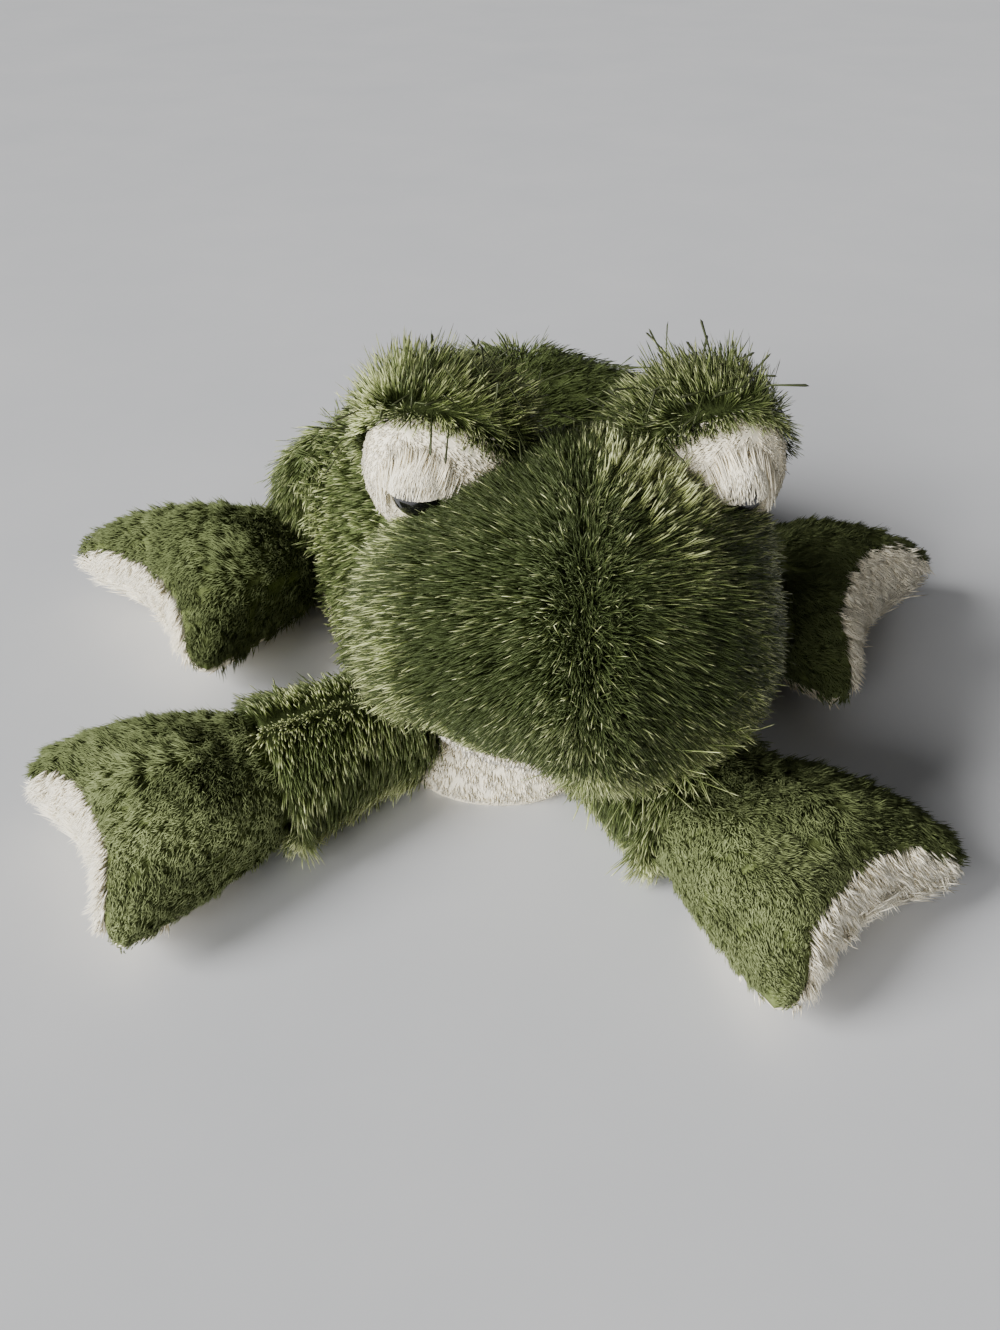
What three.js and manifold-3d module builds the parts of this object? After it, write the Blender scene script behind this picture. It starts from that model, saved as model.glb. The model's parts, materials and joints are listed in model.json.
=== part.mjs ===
// A small plush frog that lies on its belly with its limbs spread and its head lolling a little to its left.
// Long-pile cloth covers the head, back, sleeves and thighs, and short-pile cloth covers the hands and feet.
// Millimetres, +Z up. The frog looks along -Y, its left side is +X, and the origin is under its belly.
import * as THREE from "three";
import { mergeVertices } from "three/addons/utils/BufferGeometryUtils.js";
import Module from "manifold-3d";

const wasm = await Module();
wasm.setup();

// Cloth and fits
const shagCloth = 2.4; // long-pile cloth, backing and packed pile
const plushCloth = 1.8; // short-pile cloth
const seamGap = 0.35; // between two pieces that meet
const jointGap = 0.6; // between two pieces that turn against each other
const floorGap = 0.3; // under the round pieces that only nearly touch the table

// Torso, given at four stations from the chest to the rump
const chestTipY = -46;
const chestY = -37;
const chestHalfWidth = 19;
const chestTop = 12;
const neckY = -16;
const neckHalfWidth = 25;
const neckTop = 25;
const backY = 15;
const backHalfWidth = 35;
const backTop = 39.5;
const rumpY = 34;
const rumpHalfWidth = 29;
const rumpTop = 33;
const tailTipY = 46;
const bellySeamHeight = 7; // where the back cloth meets the belly cloth
const bellySag = 3; // how far the belly would bulge below the table that it is pressed flat on
const torsoBoxiness = 0.85; // 1 is an ellipse in section, less is squarer

// Head, measured from its own centre
const headHalfWidth = 24;
const headFront = 26.5;
const headRear = 21;
const headTop = 19.5;
const headBottom = 11;
const headBoxiness = 0.88;
const mouthHeight = -6.5; // the seam between the green face and the white chin

// Neck: its pivot, where the head is from there, and how far the head can move
const neckPivotX = 8.5;
const neckPivotY = -15;
const neckPivotZ = 20;
const headForward = 20;
const headRise = 6.5;
const headTurn = 4;
const turnRange = 14;
const nodUpRange = 12;
const neckWadRadius = 6;
const headRoom = 2; // between the torso and the head where it moves

// Eye mounds on top of the head, with safety eyes
const moundRadius = 10;
const moundOut = 16.5;
const moundBack = 9;
const moundUp = 16.5;
const eyeOutward = 17; // degrees
const eyeDownward = -5;
const lidTilt = 33; // degrees that the edge of the lid leans forward over the eye
const eyeRadius = 3.3;
const eyeBulge = 2.4;
const eyeSeat = 0.9; // depth of the eye's seat in the white pile
const stemRadius = 1.1;
const stemLength = 4.6;
const washerRadius = 2.6;
const washerThickness = 1.1;
const stemClearance = 0.3;

// Arms: a flattened sleeve from a round shoulder to the cuff
const shoulderX = 15;
const shoulderY = -37;
const armRadius = 7;
const cuffHalfWidth = 10.8;
const cuffHalfHeight = 7.2;
const armLength = 19.5;
const armWadRadius = 3.6;
const cuffSetback = 2.4; // from the end of the sleeve to the wrist's pivot, room for the hand to bend
const rightArmSweep = 57; // degrees outwards from straight ahead
const leftArmSweep = 46;

// Hands and feet: plump webbed paws with two toes and a hollow edge between them
const handRootWidth = 10.2;
const handRootRadius = 5.6;
const handLength = 27;
const handHalfSpan = 17.5;
const handNotch = 5.5;
const handCrown = 8.2;
const handToeHeight = -1.5;
const rightHandYaw = 53; // degrees outwards from straight ahead
const leftHandYaw = 44;
const footRootWidth = 8.5;
const footRootRadius = 6.4;
const footLength = 31;
const footHalfSpan = 22;
const footNotch = 6.5;
const footCrown = 10;
const footToeHeight = 0.5;
const rightFootYaw = 47;
const leftFootYaw = 62;
const toeRounding = 3.5;
const pawEdge = 1.3; // blunt edge where the two cloths of a paw meet
const soleRise = 1.2; // height of the sole's seam at the wrist
const bendRoom = 2.2; // between a foot and its thigh, so that the foot can bend up
const swingRoom = 3; // between a foot's root and the torso, so that the leg can swing

// Legs: a round thigh, with the ankle on its outer front
const hipX = 27.5;
const hipY = 15;
const thighRadius = 13;
const hipWadRadius = 4.5;
const ankleReach = 12.5;
const ankleDrop = 5.5;
const rightLegSweep = 55;
const leftLegSweep = 30;

// Pellet bag in the belly
const bagY = 8;
const bagHalfWidth = 11.5;
const bagHalfLength = 17;
const bagHeight = 14;
const bagCloth = 0.8;
const bagNeckRadius = 2.5;

const big = 400; // longer than anything here, for cutting
const origin = new THREE.Vector3();
const up = new THREE.Vector3(0, 0, 1);
const forward = new THREE.Vector3(0, -1, 0);
const radians = THREE.MathUtils.degToRad;

const cloth = (color, roughness) => new THREE.MeshStandardMaterial({ color, roughness, metalness: 0 });
const shagGreen = cloth(0x55702c, 0.75);
const plushGreen = cloth(0x7c8a55, 0.95);
const plushWhite = cloth(0xe6dfd2, 0.95);
const fibrefill = cloth(0xf1f0ec, 1);
const bagLining = cloth(0xd9d6ce, 0.9);
const pelletPlastic = cloth(0xc9ccd0, 0.5);
const eyeBlack = cloth(0x08080a, 0.12);
const washerPlastic = cloth(0xe9e9e6, 0.45);

// Solids from three.js geometry, and the cuts between them

function solidOf(geometry) {
  const bare = new THREE.BufferGeometry().setAttribute("position", geometry.getAttribute("position"));
  if (geometry.index) bare.setIndex(geometry.index);
  const merged = mergeVertices(bare, 1e-4);
  const triVerts = new Uint32Array(merged.index.array);
  const vertProperties = new Float32Array(merged.getAttribute("position").array);
  return new wasm.Manifold(new wasm.Mesh({ numProp: 3, vertProperties, triVerts }));
}

// Crumbs that a cut leaves beside a piece are dropped.
function piece(name, solid, material) {
  const bodies = solid.decompose().sort((a, b) => b.volume() - a.volume());
  const made = bodies[0].getMesh();
  const geometry = new THREE.BufferGeometry();
  geometry.setAttribute("position", new THREE.BufferAttribute(made.vertProperties, 3));
  geometry.setIndex(new THREE.BufferAttribute(made.triVerts, 1));
  geometry.computeVertexNormals();
  const mesh = new THREE.Mesh(geometry, material);
  mesh.name = name;
  return mesh;
}

const moved = (solid, matrix) => solid.transform(matrix.elements);

function placement(position, yaw = 0, pitch = 0) {
  const turn = new THREE.Quaternion().setFromEuler(new THREE.Euler(radians(pitch), 0, radians(yaw), "ZXY"));
  return new THREE.Matrix4().compose(position, turn, new THREE.Vector3(1, 1, 1));
}

const pole = new THREE.Vector3(0, 1, 0);
const poleTo = (way) => new THREE.Quaternion().setFromUnitVectors(pole, way.clone().normalize());

function ball(centre, radius, around = 14, way = pole) {
  const geometry = new THREE.SphereGeometry(radius, around, Math.round(around * 0.6));
  return solidOf(geometry.applyQuaternion(poleTo(way)).translate(centre.x, centre.y, centre.z));
}

// A round bar from one point to another.
function bar(from, to, radius, around = 14) {
  const way = to.clone().sub(from);
  const geometry = new THREE.CylinderGeometry(radius, radius, way.length(), around);
  const middle = from.clone().add(to).multiplyScalar(0.5);
  return solidOf(geometry.applyQuaternion(poleTo(way)).translate(middle.x, middle.y, middle.z));
}

// Everything on the side of a plane that its normal points to.
function beyond(point, normal) {
  const geometry = new THREE.BoxGeometry(big, big, big).translate(0, 0, big / 2);
  geometry.applyQuaternion(new THREE.Quaternion().setFromUnitVectors(up, normal.clone().normalize()));
  return solidOf(geometry.translate(point.x, point.y, point.z));
}

const above = (height) => beyond(new THREE.Vector3(0, 0, height), up);

// A closed skin over rings of points. A point closes each end, or the last ring is zipped across its width.
function skin(start, rings, end) {
  const count = rings[0].length;
  const points = [start, ...rings.flat(), ...(end ? [end] : [])];
  const at = (ring, i) => 1 + ring * count + ((i + count) % count);
  const faces = [];
  for (let i = 0; i < count; i++) faces.push(0, at(0, i + 1), at(0, i));
  for (let ring = 0; ring + 1 < rings.length; ring++) {
    for (let i = 0; i < count; i++) {
      faces.push(at(ring, i), at(ring, i + 1), at(ring + 1, i + 1));
      faces.push(at(ring, i), at(ring + 1, i + 1), at(ring + 1, i));
    }
  }
  const last = rings.length - 1;
  for (let i = 0; i < count; i++) {
    if (end) faces.push(points.length - 1, at(last, i), at(last, i + 1));
    else if (i > 0 && i < count / 2) faces.push(at(last, i), at(last, i + 1), at(last, -i));
    if (!end && i + 1 < count / 2) faces.push(at(last, i + 1), at(last, -i - 1), at(last, -i));
  }
  const geometry = new THREE.BufferGeometry().setFromPoints(points).setIndex(faces);
  const solid = solidOf(geometry);
  if (solid.volume() > 0) return solid;
  for (let i = 0; i < faces.length; i += 3) [faces[i + 1], faces[i + 2]] = [faces[i + 2], faces[i + 1]];
  return solidOf(geometry.setIndex(faces));
}

const signedPower = (value, power) => Math.sign(value) * Math.abs(value) ** power;
const blend = (from, to, share) => from + (to - from) * share;
const smooth = (share) => share * share * (3 - 2 * share);
const anglesOf = (count) => Array.from({ length: count }, (_, i) => (2 * Math.PI * i) / count);

// Forms, each grown or shrunk evenly by an allowance. A form that doesn't show is made coarser.

// The torso is a run of domes, flat underneath, whose width and height follow a spline through four stations.
function torsoForm(grow, around = 12, ringCount = 8) {
  const widths = [chestHalfWidth, neckHalfWidth, backHalfWidth, rumpHalfWidth];
  const tops = [chestTop, neckTop, backTop, rumpTop];
  const line = new THREE.CatmullRomCurve3(
    [chestY, neckY, backY, rumpY].map((y, i) => new THREE.Vector3(y, widths[i], tops[i])),
  );
  const stations = line.getPoints(60);
  const nearest = (y) => stations.reduce((a, b) => (Math.abs(a.x - y) <= Math.abs(b.x - y) ? a : b));
  const [first, last] = [chestTipY - grow, tailTipY + grow];
  const rings = [];
  for (let i = 0; i < ringCount; i++) {
    const along = -Math.cos((Math.PI * (i + 0.75)) / (ringCount + 0.5));
    const y = blend(first, last, (along + 1) / 2);
    const closing = Math.sqrt(1 - Math.abs(along) ** 5);
    const station = nearest(y);
    const half = (station.y + grow) * closing;
    const top = (station.z + grow) * closing;
    const seam = Math.min(bellySeamHeight, top / 2);
    rings.push(anglesOf(around).map((angle) => {
      const height = Math.sin(angle) > 0 ? top - seam : seam + bellySag + grow;
      const x = half * signedPower(Math.cos(angle), torsoBoxiness);
      return new THREE.Vector3(x, y, seam + height * signedPower(Math.sin(angle), torsoBoxiness));
    }));
  }
  const tipHeight = bellySeamHeight / 2;
  return skin(new THREE.Vector3(0, first, tipHeight), rings, new THREE.Vector3(0, last, tipHeight));
}

// The head is a squarish ellipsoid with a flatter underside, about its own centre.
function headForm(grow, around = 12, ringCount = 6) {
  const rings = [];
  for (let i = 1; i <= ringCount; i++) {
    const latitude = -Math.PI / 2 + (Math.PI * i) / (ringCount + 1);
    const reach = Math.cos(latitude) ** headBoxiness;
    const height = (latitude > 0 ? headTop : headBottom) + grow;
    const z = height * signedPower(Math.sin(latitude), headBoxiness);
    rings.push(anglesOf(around).map((angle) => {
      const length = (Math.sin(angle) > 0 ? headRear : headFront) + grow;
      const x = (headHalfWidth + grow) * reach * signedPower(Math.cos(angle), headBoxiness);
      return new THREE.Vector3(x, length * reach * signedPower(Math.sin(angle), headBoxiness), z);
    }));
  }
  const bottomPole = new THREE.Vector3(0, 0, -headBottom - grow);
  return skin(bottomPole, rings, new THREE.Vector3(0, 0, headTop + grow));
}

// A sleeve runs along -Y from a round end on the shoulder to a wider cuff short of the wrist.
function armForm(grow, around = 8) {
  const rings = [];
  const addRing = (y, halfWidth, halfHeight) => {
    const at = (angle) => new THREE.Vector3(halfWidth * Math.cos(angle), y, halfHeight * Math.sin(angle));
    rings.push(anglesOf(around).map(at));
  };
  const root = armRadius + grow;
  for (const angle of [60, 30]) {
    const radius = root * Math.cos(radians(angle));
    addRing(root * Math.sin(radians(angle)), radius, radius);
  }
  const end = armLength - cuffSetback;
  for (const share of [0, 0.35, 0.7, 1]) {
    const swell = (cuff) => blend(root, cuff + grow, smooth(share));
    addRing(-end * share, swell(cuffHalfWidth), swell(cuffHalfHeight));
  }
  return skin(new THREE.Vector3(0, root, 0), rings, new THREE.Vector3(0, -end - grow, 0));
}

// The rounded root that a paw turns on is wide across and round about its hinge.
function pawRoot(paw, grow) {
  const geometry = new THREE.SphereGeometry(1, 12, 10).rotateZ(Math.PI / 2);
  geometry.scale(paw.rootWidth + grow, paw.rootRadius + grow, paw.rootRadius + grow);
  return solidOf(geometry);
}

// A paw widens from its root to two toes along -Y. Its underside is flat on the table, below the hinge.
function pawForm(paw, grow, around = 12) {
  const root = paw.rootRadius + grow;
  const rings = [];
  for (const angle of [55, 25]) {
    const [cos, sin] = [Math.cos(radians(angle)), Math.sin(radians(angle))];
    const half = (paw.rootWidth + grow) * cos;
    rings.push(anglesOf(around).map((turn) =>
      new THREE.Vector3(half * Math.cos(turn), root * sin, root * cos * Math.sin(turn))));
  }
  for (const share of [0, 0.25, 0.5, 0.75, 0.92, 1]) {
    const half = blend(paw.rootWidth + grow, paw.halfSpan + grow, share ** 0.7);
    const middle = blend(0, paw.toeHeight, smooth(share));
    const crown = blend(root, paw.crown + grow, smooth(Math.min(1, share / 0.45)));
    const depth = blend(root, paw.pivotHeight + grow, Math.min(1, 4 * share));
    const closing = share < 0.5 ? 1 : Math.sqrt(1 - ((share - 0.5) / 0.5) ** 2.5);
    rings.push(anglesOf(around).map((turn) => {
      const [cos, sin] = [Math.cos(turn), Math.sin(turn)];
      const hollow = paw.notch * share ** 2 * (1 - cos * cos) + toeRounding * share ** 4 * cos ** 8;
      const height = sin > 0 ? crown - middle : depth + middle;
      const rise = Math.max(height * closing, (pawEdge + grow) / 2);
      const reach = share * (paw.length + grow) - hollow;
      return new THREE.Vector3(half * cos, -reach, middle + rise * signedPower(sin, 0.8));
    }));
  }
  return skin(new THREE.Vector3(0, root, 0), rings, null);
}

// Where things are

const neckPivot = new THREE.Vector3(neckPivotX, neckPivotY, neckPivotZ);
const headOffset = new THREE.Vector3(0, -headForward, headRise);
const toHead = new THREE.Matrix4().setPosition(headOffset);
const headPlace = (turn, nod) => placement(neckPivot, turn, nod).multiply(toHead);
const armHeight = Math.max(armRadius, cuffHalfHeight) + floorGap;
const thighHeight = thighRadius + floorGap;
const sides = [
  {
    name: "left",
    side: 1,
    armSweep: leftArmSweep,
    handYaw: leftHandYaw,
    legSweep: leftLegSweep,
    footYaw: leftFootYaw,
  },
  {
    name: "right",
    side: -1,
    armSweep: rightArmSweep,
    handYaw: rightHandYaw,
    legSweep: rightLegSweep,
    footYaw: rightFootYaw,
  },
];
const shoulderOf = ({ side }) => new THREE.Vector3(side * shoulderX, shoulderY, armHeight);
const hipOf = ({ side }) => new THREE.Vector3(side * hipX, hipY, thighHeight);

// A foot's place from its hip: the ankle is on the outer front of the thigh, a little low.
function footPlaceOf({ side, legSweep, footYaw }) {
  const sideways = forward.clone().applyAxisAngle(up, side * radians(legSweep));
  return placement(sideways.multiplyScalar(ankleReach).addScaledVector(up, -ankleDrop), side * footYaw);
}
const hand = {
  rootWidth: handRootWidth,
  rootRadius: handRootRadius,
  length: handLength,
  halfSpan: handHalfSpan,
  notch: handNotch,
  crown: handCrown,
  toeHeight: handToeHeight,
  pivotHeight: armHeight,
};
const foot = {
  rootWidth: footRootWidth,
  rootRadius: footRootRadius,
  length: footLength,
  halfSpan: footHalfSpan,
  notch: footNotch,
  crown: footCrown,
  toeHeight: footToeHeight,
  pivotHeight: thighHeight - ankleDrop,
};

// The head with its clearance, as seen from a frame that stands somewhere in the frog.
const headFrom = (place) => moved(headForm(seamGap), place.clone().invert().multiply(headPlace(headTurn, 0)));

// Torso: two back panels and a belly panel over stuffing, with a bag of pellets low in the middle

function bagForm(grow) {
  const geometry = new THREE.SphereGeometry(1, 12, 8).rotateX(Math.PI / 2);
  geometry.scale(bagHalfWidth + grow, bagHalfLength + grow, bagHeight / 2 + grow);
  return solidOf(geometry.translate(0, bagY, plushCloth + seamGap + bagHeight / 2));
}

// What the head, the limbs and the wad of stuffing in the neck take out of the torso.
function torsoSockets() {
  const turns = [-turnRange, 0, turnRange].map((turn) => headTurn + turn);
  const places = [0, -nodUpRange].flatMap((nod) => turns.map((turn) => headPlace(turn, nod)));
  const heads = places.map((place) => moved(headForm(headRoom, 12, 5), place));
  const limbs = sides.flatMap((limb) => [
    ball(shoulderOf(limb), armRadius + jointGap),
    ball(hipOf(limb), thighRadius + jointGap),
    moved(pawRoot(foot, swingRoom), placement(hipOf(limb)).multiply(footPlaceOf(limb))),
  ]);
  return [...heads, ...limbs, ball(neckPivot, neckWadRadius + seamGap, 10)].reduce((a, b) => a.add(b));
}

function buildTorso() {
  const group = new THREE.Group();
  const sockets = torsoSockets();
  const inside = torsoForm(-shagCloth).intersect(above(plushCloth));
  const shell = torsoForm(0, 18, 11).intersect(above(0)).subtract(inside).subtract(sockets);
  const back = shell.intersect(above(bellySeamHeight + seamGap / 2));
  for (const [name, side] of [["back_left_panel", 1], ["back_right_panel", -1]]) {
    const half = beyond(new THREE.Vector3((side * seamGap) / 2, 0, 0), new THREE.Vector3(side, 0, 0));
    group.add(piece(name, back.intersect(half), shagGreen));
  }
  group.add(piece("belly_panel", shell.subtract(above(bellySeamHeight - seamGap / 2)), plushWhite));

  const fill = torsoForm(-shagCloth - seamGap).intersect(above(plushCloth + seamGap)).subtract(sockets);
  group.add(piece("body_stuffing", fill.subtract(bagForm(seamGap)), fibrefill));
  const bagMiddle = new THREE.Vector3(0, bagY, bagHeight / 2);
  const bagNeck = bar(bagMiddle, bagMiddle.clone().addScaledVector(up, bagHeight), bagNeckRadius, 8);
  group.add(piece("pellet_bag", bagForm(0).subtract(bagForm(-bagCloth)).subtract(bagNeck), bagLining));
  group.add(piece("pellet_fill", bagForm(-bagCloth - seamGap), pelletPlastic));
  return group;
}

// Head: two face panels that meet on the middle seam, and a white chin, over stuffing

function buildHead() {
  const group = new THREE.Group();
  const wad = ball(headOffset.clone().negate(), neckWadRadius + seamGap, 10);
  const shell = headForm(0, 20, 9).subtract(headForm(-shagCloth)).subtract(wad);
  const face = shell.intersect(above(mouthHeight + seamGap / 2));
  for (const [name, side] of [["head_left_panel", 1], ["head_right_panel", -1]]) {
    const half = beyond(new THREE.Vector3((side * seamGap) / 2, 0, 0), new THREE.Vector3(side, 0, 0));
    group.add(piece(name, face.intersect(half), shagGreen));
  }
  group.add(piece("chin_panel", shell.subtract(above(mouthHeight - seamGap / 2)), plushWhite));
  group.add(piece("head_stuffing", headForm(-shagCloth - seamGap).subtract(wad), fibrefill));
  for (const { name, side } of sides) addEye(group, name, side);
  return group;
}

// How far a sphere falls away from its tangent plane at a distance from where they touch.
const sagitta = (radius, distance) => radius - Math.sqrt(radius * radius - distance * distance);

// Each eye mound is a white front and a green lid over stuffing. A washer inside holds its domed eye.
function addEye(group, sideName, side) {
  const centre = new THREE.Vector3(side * moundOut, moundBack, moundUp);
  const facing = (down) =>
    forward.clone().applyEuler(new THREE.Euler(radians(down), 0, side * radians(eyeOutward), "ZXY"));
  const gaze = facing(eyeDownward);
  const out = (distance) => centre.clone().addScaledVector(gaze, distance);
  const head = headForm(seamGap, 20, 9);
  const mound = (allowance, around) => ball(centre, moundRadius + allowance, around, gaze);
  const shell = mound(0, 14).subtract(mound(-plushCloth, 10)).subtract(head);

  const lidEdge = (shift) => beyond(centre.clone().addScaledVector(facing(lidTilt), shift), facing(lidTilt));
  const seatFloor = moundRadius - eyeSeat;
  const seat = bar(out(seatFloor), out(moundRadius * 2), eyeRadius + stemClearance);
  const stemEnd = out(seatFloor - stemLength - seamGap);
  const stemHole = bar(stemEnd, out(moundRadius * 2), stemRadius + stemClearance, 10);
  const white = shell.intersect(lidEdge(seamGap / 2)).subtract(seat).subtract(stemHole);
  group.add(piece(`${sideName}_eye_white`, white, plushWhite));
  group.add(piece(`${sideName}_eyelid`, shell.subtract(lidEdge(-seamGap / 2)), shagGreen));

  const inside = moundRadius - plushCloth;
  const washerFront = inside - 2 * seamGap - sagitta(inside, washerRadius);
  const washerBack = washerFront - washerThickness;
  const washer = bar(out(washerBack), out(washerFront), washerRadius, 10).subtract(stemHole);
  group.add(piece(`${sideName}_eye_washer`, washer, washerPlastic));
  const pocket = bar(out(washerBack - seamGap), out(moundRadius), washerRadius + seamGap, 10);
  const fill = mound(-plushCloth - seamGap, 10).subtract(pocket).subtract(stemHole).subtract(head);
  group.add(piece(`${sideName}_eye_stuffing`, fill, fibrefill));

  const profile = [[0, -stemLength], [stemRadius, -stemLength], [stemRadius, seamGap]];
  for (const angle of [0, 25, 55]) {
    const height = seamGap + eyeBulge * Math.sin(radians(angle));
    profile.push([eyeRadius * Math.cos(radians(angle)), height]);
  }
  profile.push([0, seamGap + eyeBulge]);
  const dome = new THREE.LatheGeometry(profile.map((point) => new THREE.Vector2(...point)), 14);
  const seated = out(seatFloor);
  const eye = solidOf(dome.applyQuaternion(poleTo(gaze)).translate(seated.x, seated.y, seated.z));
  group.add(piece(`${sideName}_eye`, eye, eyeBlack));
}

// Limbs

// A paw's upper cloth, sole and stuffing, in the paw's own frame. The sole's seam climbs towards the toes.
function buildPaw(paw, prefix, clear) {
  const group = new THREE.Group();
  const inside = pawForm(paw, -plushCloth).intersect(above(plushCloth - paw.pivotHeight));
  const shell = pawForm(paw, 0, 20).intersect(above(-paw.pivotHeight)).subtract(inside).subtract(clear);
  const heel = new THREE.Vector3(0, paw.rootRadius, soleRise - paw.pivotHeight);
  const toe = new THREE.Vector3(0, -paw.length, paw.toeHeight);
  const seamNormal = new THREE.Vector3().crossVectors(new THREE.Vector3(-1, 0, 0), toe.clone().sub(heel));
  const upper = (shift) => beyond(toe.clone().addScaledVector(up, shift), seamNormal);
  group.add(piece(`${prefix}_top`, shell.intersect(upper(seamGap / 2)), plushGreen));
  group.add(piece(`${prefix}_sole`, shell.subtract(upper(-seamGap / 2)), plushWhite));
  const lining = plushCloth + seamGap;
  const fill = pawForm(paw, -lining).intersect(above(lining - paw.pivotHeight)).subtract(clear);
  group.add(piece(`${prefix}_stuffing`, fill, fibrefill));
  return group;
}

// The space round a wad of stuffing in a limb's root, open on the side that the limb is sewn on by.
function wadSpace(radius, way) {
  const end = way.clone().normalize().multiplyScalar(big / 4);
  return ball(origin, radius + jointGap, 8).add(bar(origin, end, radius + jointGap, 8));
}

function buildArm(limb) {
  const place = placement(shoulderOf(limb), limb.side * limb.armSweep);
  const wrist = forward.clone().multiplyScalar(armLength);
  const handPlace = placement(wrist, limb.side * (limb.handYaw - limb.armSweep));
  const arm = new THREE.Group();
  arm.applyMatrix4(place);
  const handRoom = moved(pawRoot(hand, jointGap), handPlace);
  const clear = handRoom.add(wadSpace(armWadRadius, new THREE.Vector3(0, 1, 0))).add(headFrom(place));
  const shell = armForm(0, 14).subtract(armForm(-shagCloth));
  arm.add(piece(`${limb.name}_sleeve`, shell.subtract(clear), shagGreen));
  arm.add(piece(`${limb.name}_arm_stuffing`, armForm(-shagCloth - seamGap).subtract(clear), fibrefill));
  arm.add(piece(`${limb.name}_shoulder_wad`, ball(origin, armWadRadius, 8), fibrefill));
  const paw = buildPaw(hand, `${limb.name}_hand`, headFrom(place.clone().multiply(handPlace)));
  paw.applyMatrix4(handPlace);
  arm.add(paw);
  return arm;
}

function buildLeg(limb) {
  const leg = new THREE.Group();
  leg.applyMatrix4(placement(hipOf(limb)));
  const footPlace = footPlaceOf(limb);
  const footRoom = moved(pawRoot(foot, jointGap), footPlace);
  const clear = footRoom.add(wadSpace(hipWadRadius, new THREE.Vector3(-limb.side, 0, 0)));
  const shell = ball(origin, thighRadius).subtract(ball(origin, thighRadius - shagCloth, 10));
  leg.add(piece(`${limb.name}_thigh`, shell.subtract(clear), shagGreen));
  const fill = ball(origin, thighRadius - shagCloth - seamGap, 10);
  leg.add(piece(`${limb.name}_leg_stuffing`, fill.subtract(clear), fibrefill));
  leg.add(piece(`${limb.name}_hip_wad`, ball(origin, hipWadRadius, 8), fibrefill));
  const footRoot = moved(pawRoot(foot, jointGap / 2), footPlace);
  const thighRoom = ball(origin, thighRadius + bendRoom).subtract(footRoot);
  const paw = buildPaw(foot, `${limb.name}_foot`, moved(thighRoom, footPlace.clone().invert()));
  paw.applyMatrix4(footPlace);
  leg.add(paw);
  return leg;
}

const frog = new THREE.Group();
frog.add(buildTorso());
const head = buildHead();
head.applyMatrix4(headPlace(headTurn, 0));
frog.add(head);
frog.add(piece("neck_wad", ball(neckPivot, neckWadRadius, 10), fibrefill));
for (const limb of sides) frog.add(buildArm(limb), buildLeg(limb));

export default frog;
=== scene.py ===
import json

import bmesh
import bpy
import numpy as np
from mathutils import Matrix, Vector


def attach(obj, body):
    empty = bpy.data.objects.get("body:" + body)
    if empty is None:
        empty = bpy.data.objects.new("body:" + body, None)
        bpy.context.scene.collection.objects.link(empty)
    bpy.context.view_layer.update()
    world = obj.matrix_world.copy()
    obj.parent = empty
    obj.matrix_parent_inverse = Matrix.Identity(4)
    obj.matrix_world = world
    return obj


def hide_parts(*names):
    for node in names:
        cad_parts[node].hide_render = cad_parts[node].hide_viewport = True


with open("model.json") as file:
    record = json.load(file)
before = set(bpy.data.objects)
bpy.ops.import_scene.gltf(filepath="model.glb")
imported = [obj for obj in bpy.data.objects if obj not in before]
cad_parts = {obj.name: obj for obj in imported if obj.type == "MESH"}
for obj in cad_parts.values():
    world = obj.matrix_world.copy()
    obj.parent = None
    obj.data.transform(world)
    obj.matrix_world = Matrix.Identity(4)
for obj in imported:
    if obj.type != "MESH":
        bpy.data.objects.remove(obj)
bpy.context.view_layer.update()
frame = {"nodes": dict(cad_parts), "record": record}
mm = 0.001


# small sums used by every piece

def unit(v):
    return v / np.maximum(np.linalg.norm(v, axis=-1, keepdims=True), 1e-12)


def dot(a, b):
    return (a * b).sum(-1, keepdims=True)


def signedPower(v, power):
    return np.sign(v) * np.abs(v) ** power


def smooth(t):
    t = np.clip(t, 0, 1)
    return t * t * (3 - 2 * t)


def mix(a, b, t):
    return a + (b - a) * t


# coordinates joined into points, each spread over the shape of all
def joined(*values):
    return np.stack(np.broadcast_arrays(*values), -1)


# a curve through stations: a cubic between each two, with the slope of its neighbours at each
def splineAt(x, xs, values):
    xs, values = np.asarray(xs, float), np.asarray(values, float)
    slopes = np.gradient(values, xs)
    i = np.clip(np.searchsorted(xs, x) - 1, 0, len(xs) - 2)
    span = xs[i + 1] - xs[i]
    t = np.clip((x - xs[i]) / span, 0, 1)
    low = (2 * t ** 3 - 3 * t ** 2 + 1) * values[i] + (t ** 3 - 2 * t ** 2 + t) * span * slopes[i]
    return low + (3 * t ** 2 - 2 * t ** 3) * values[i + 1] + (t ** 3 - t ** 2) * span * slopes[i + 1]


# points turned about the upright axis by so many degrees, then shifted
def placed(points, degrees, shift):
    points = np.asarray(points, float)
    c, s = np.cos(np.radians(degrees)), np.sin(np.radians(degrees))
    x, y, z = points[..., 0], points[..., 1], points[..., 2]
    return joined(x * c - y * s, x * s + y * c, z) + shift


# the same way round, for directions
def turned(ways, degrees):
    return placed(ways, degrees, (0, 0, 0))


def unplaced(points, degrees, shift):
    return placed(points - shift, -degrees, (0, 0, 0))


# a comb at each point: its x times the fan, then what is given for y and z
def fanned(points, fan, y, z):
    return joined(points[:, 0] * fan, y, z)


# a slow wavy value from about -1 to 1 at each point: a sum of sines along slanted lines
def waves(points, size, seed):
    rng = np.random.default_rng(seed)
    lines = unit(rng.normal(size=(7, 3))) * rng.uniform(0.6, 1.6, (7, 1)) * 2 * np.pi / size
    return np.sin(points @ lines.T + rng.uniform(0, 6.28, 7)).sum(-1) / 3


# meshes

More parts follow.
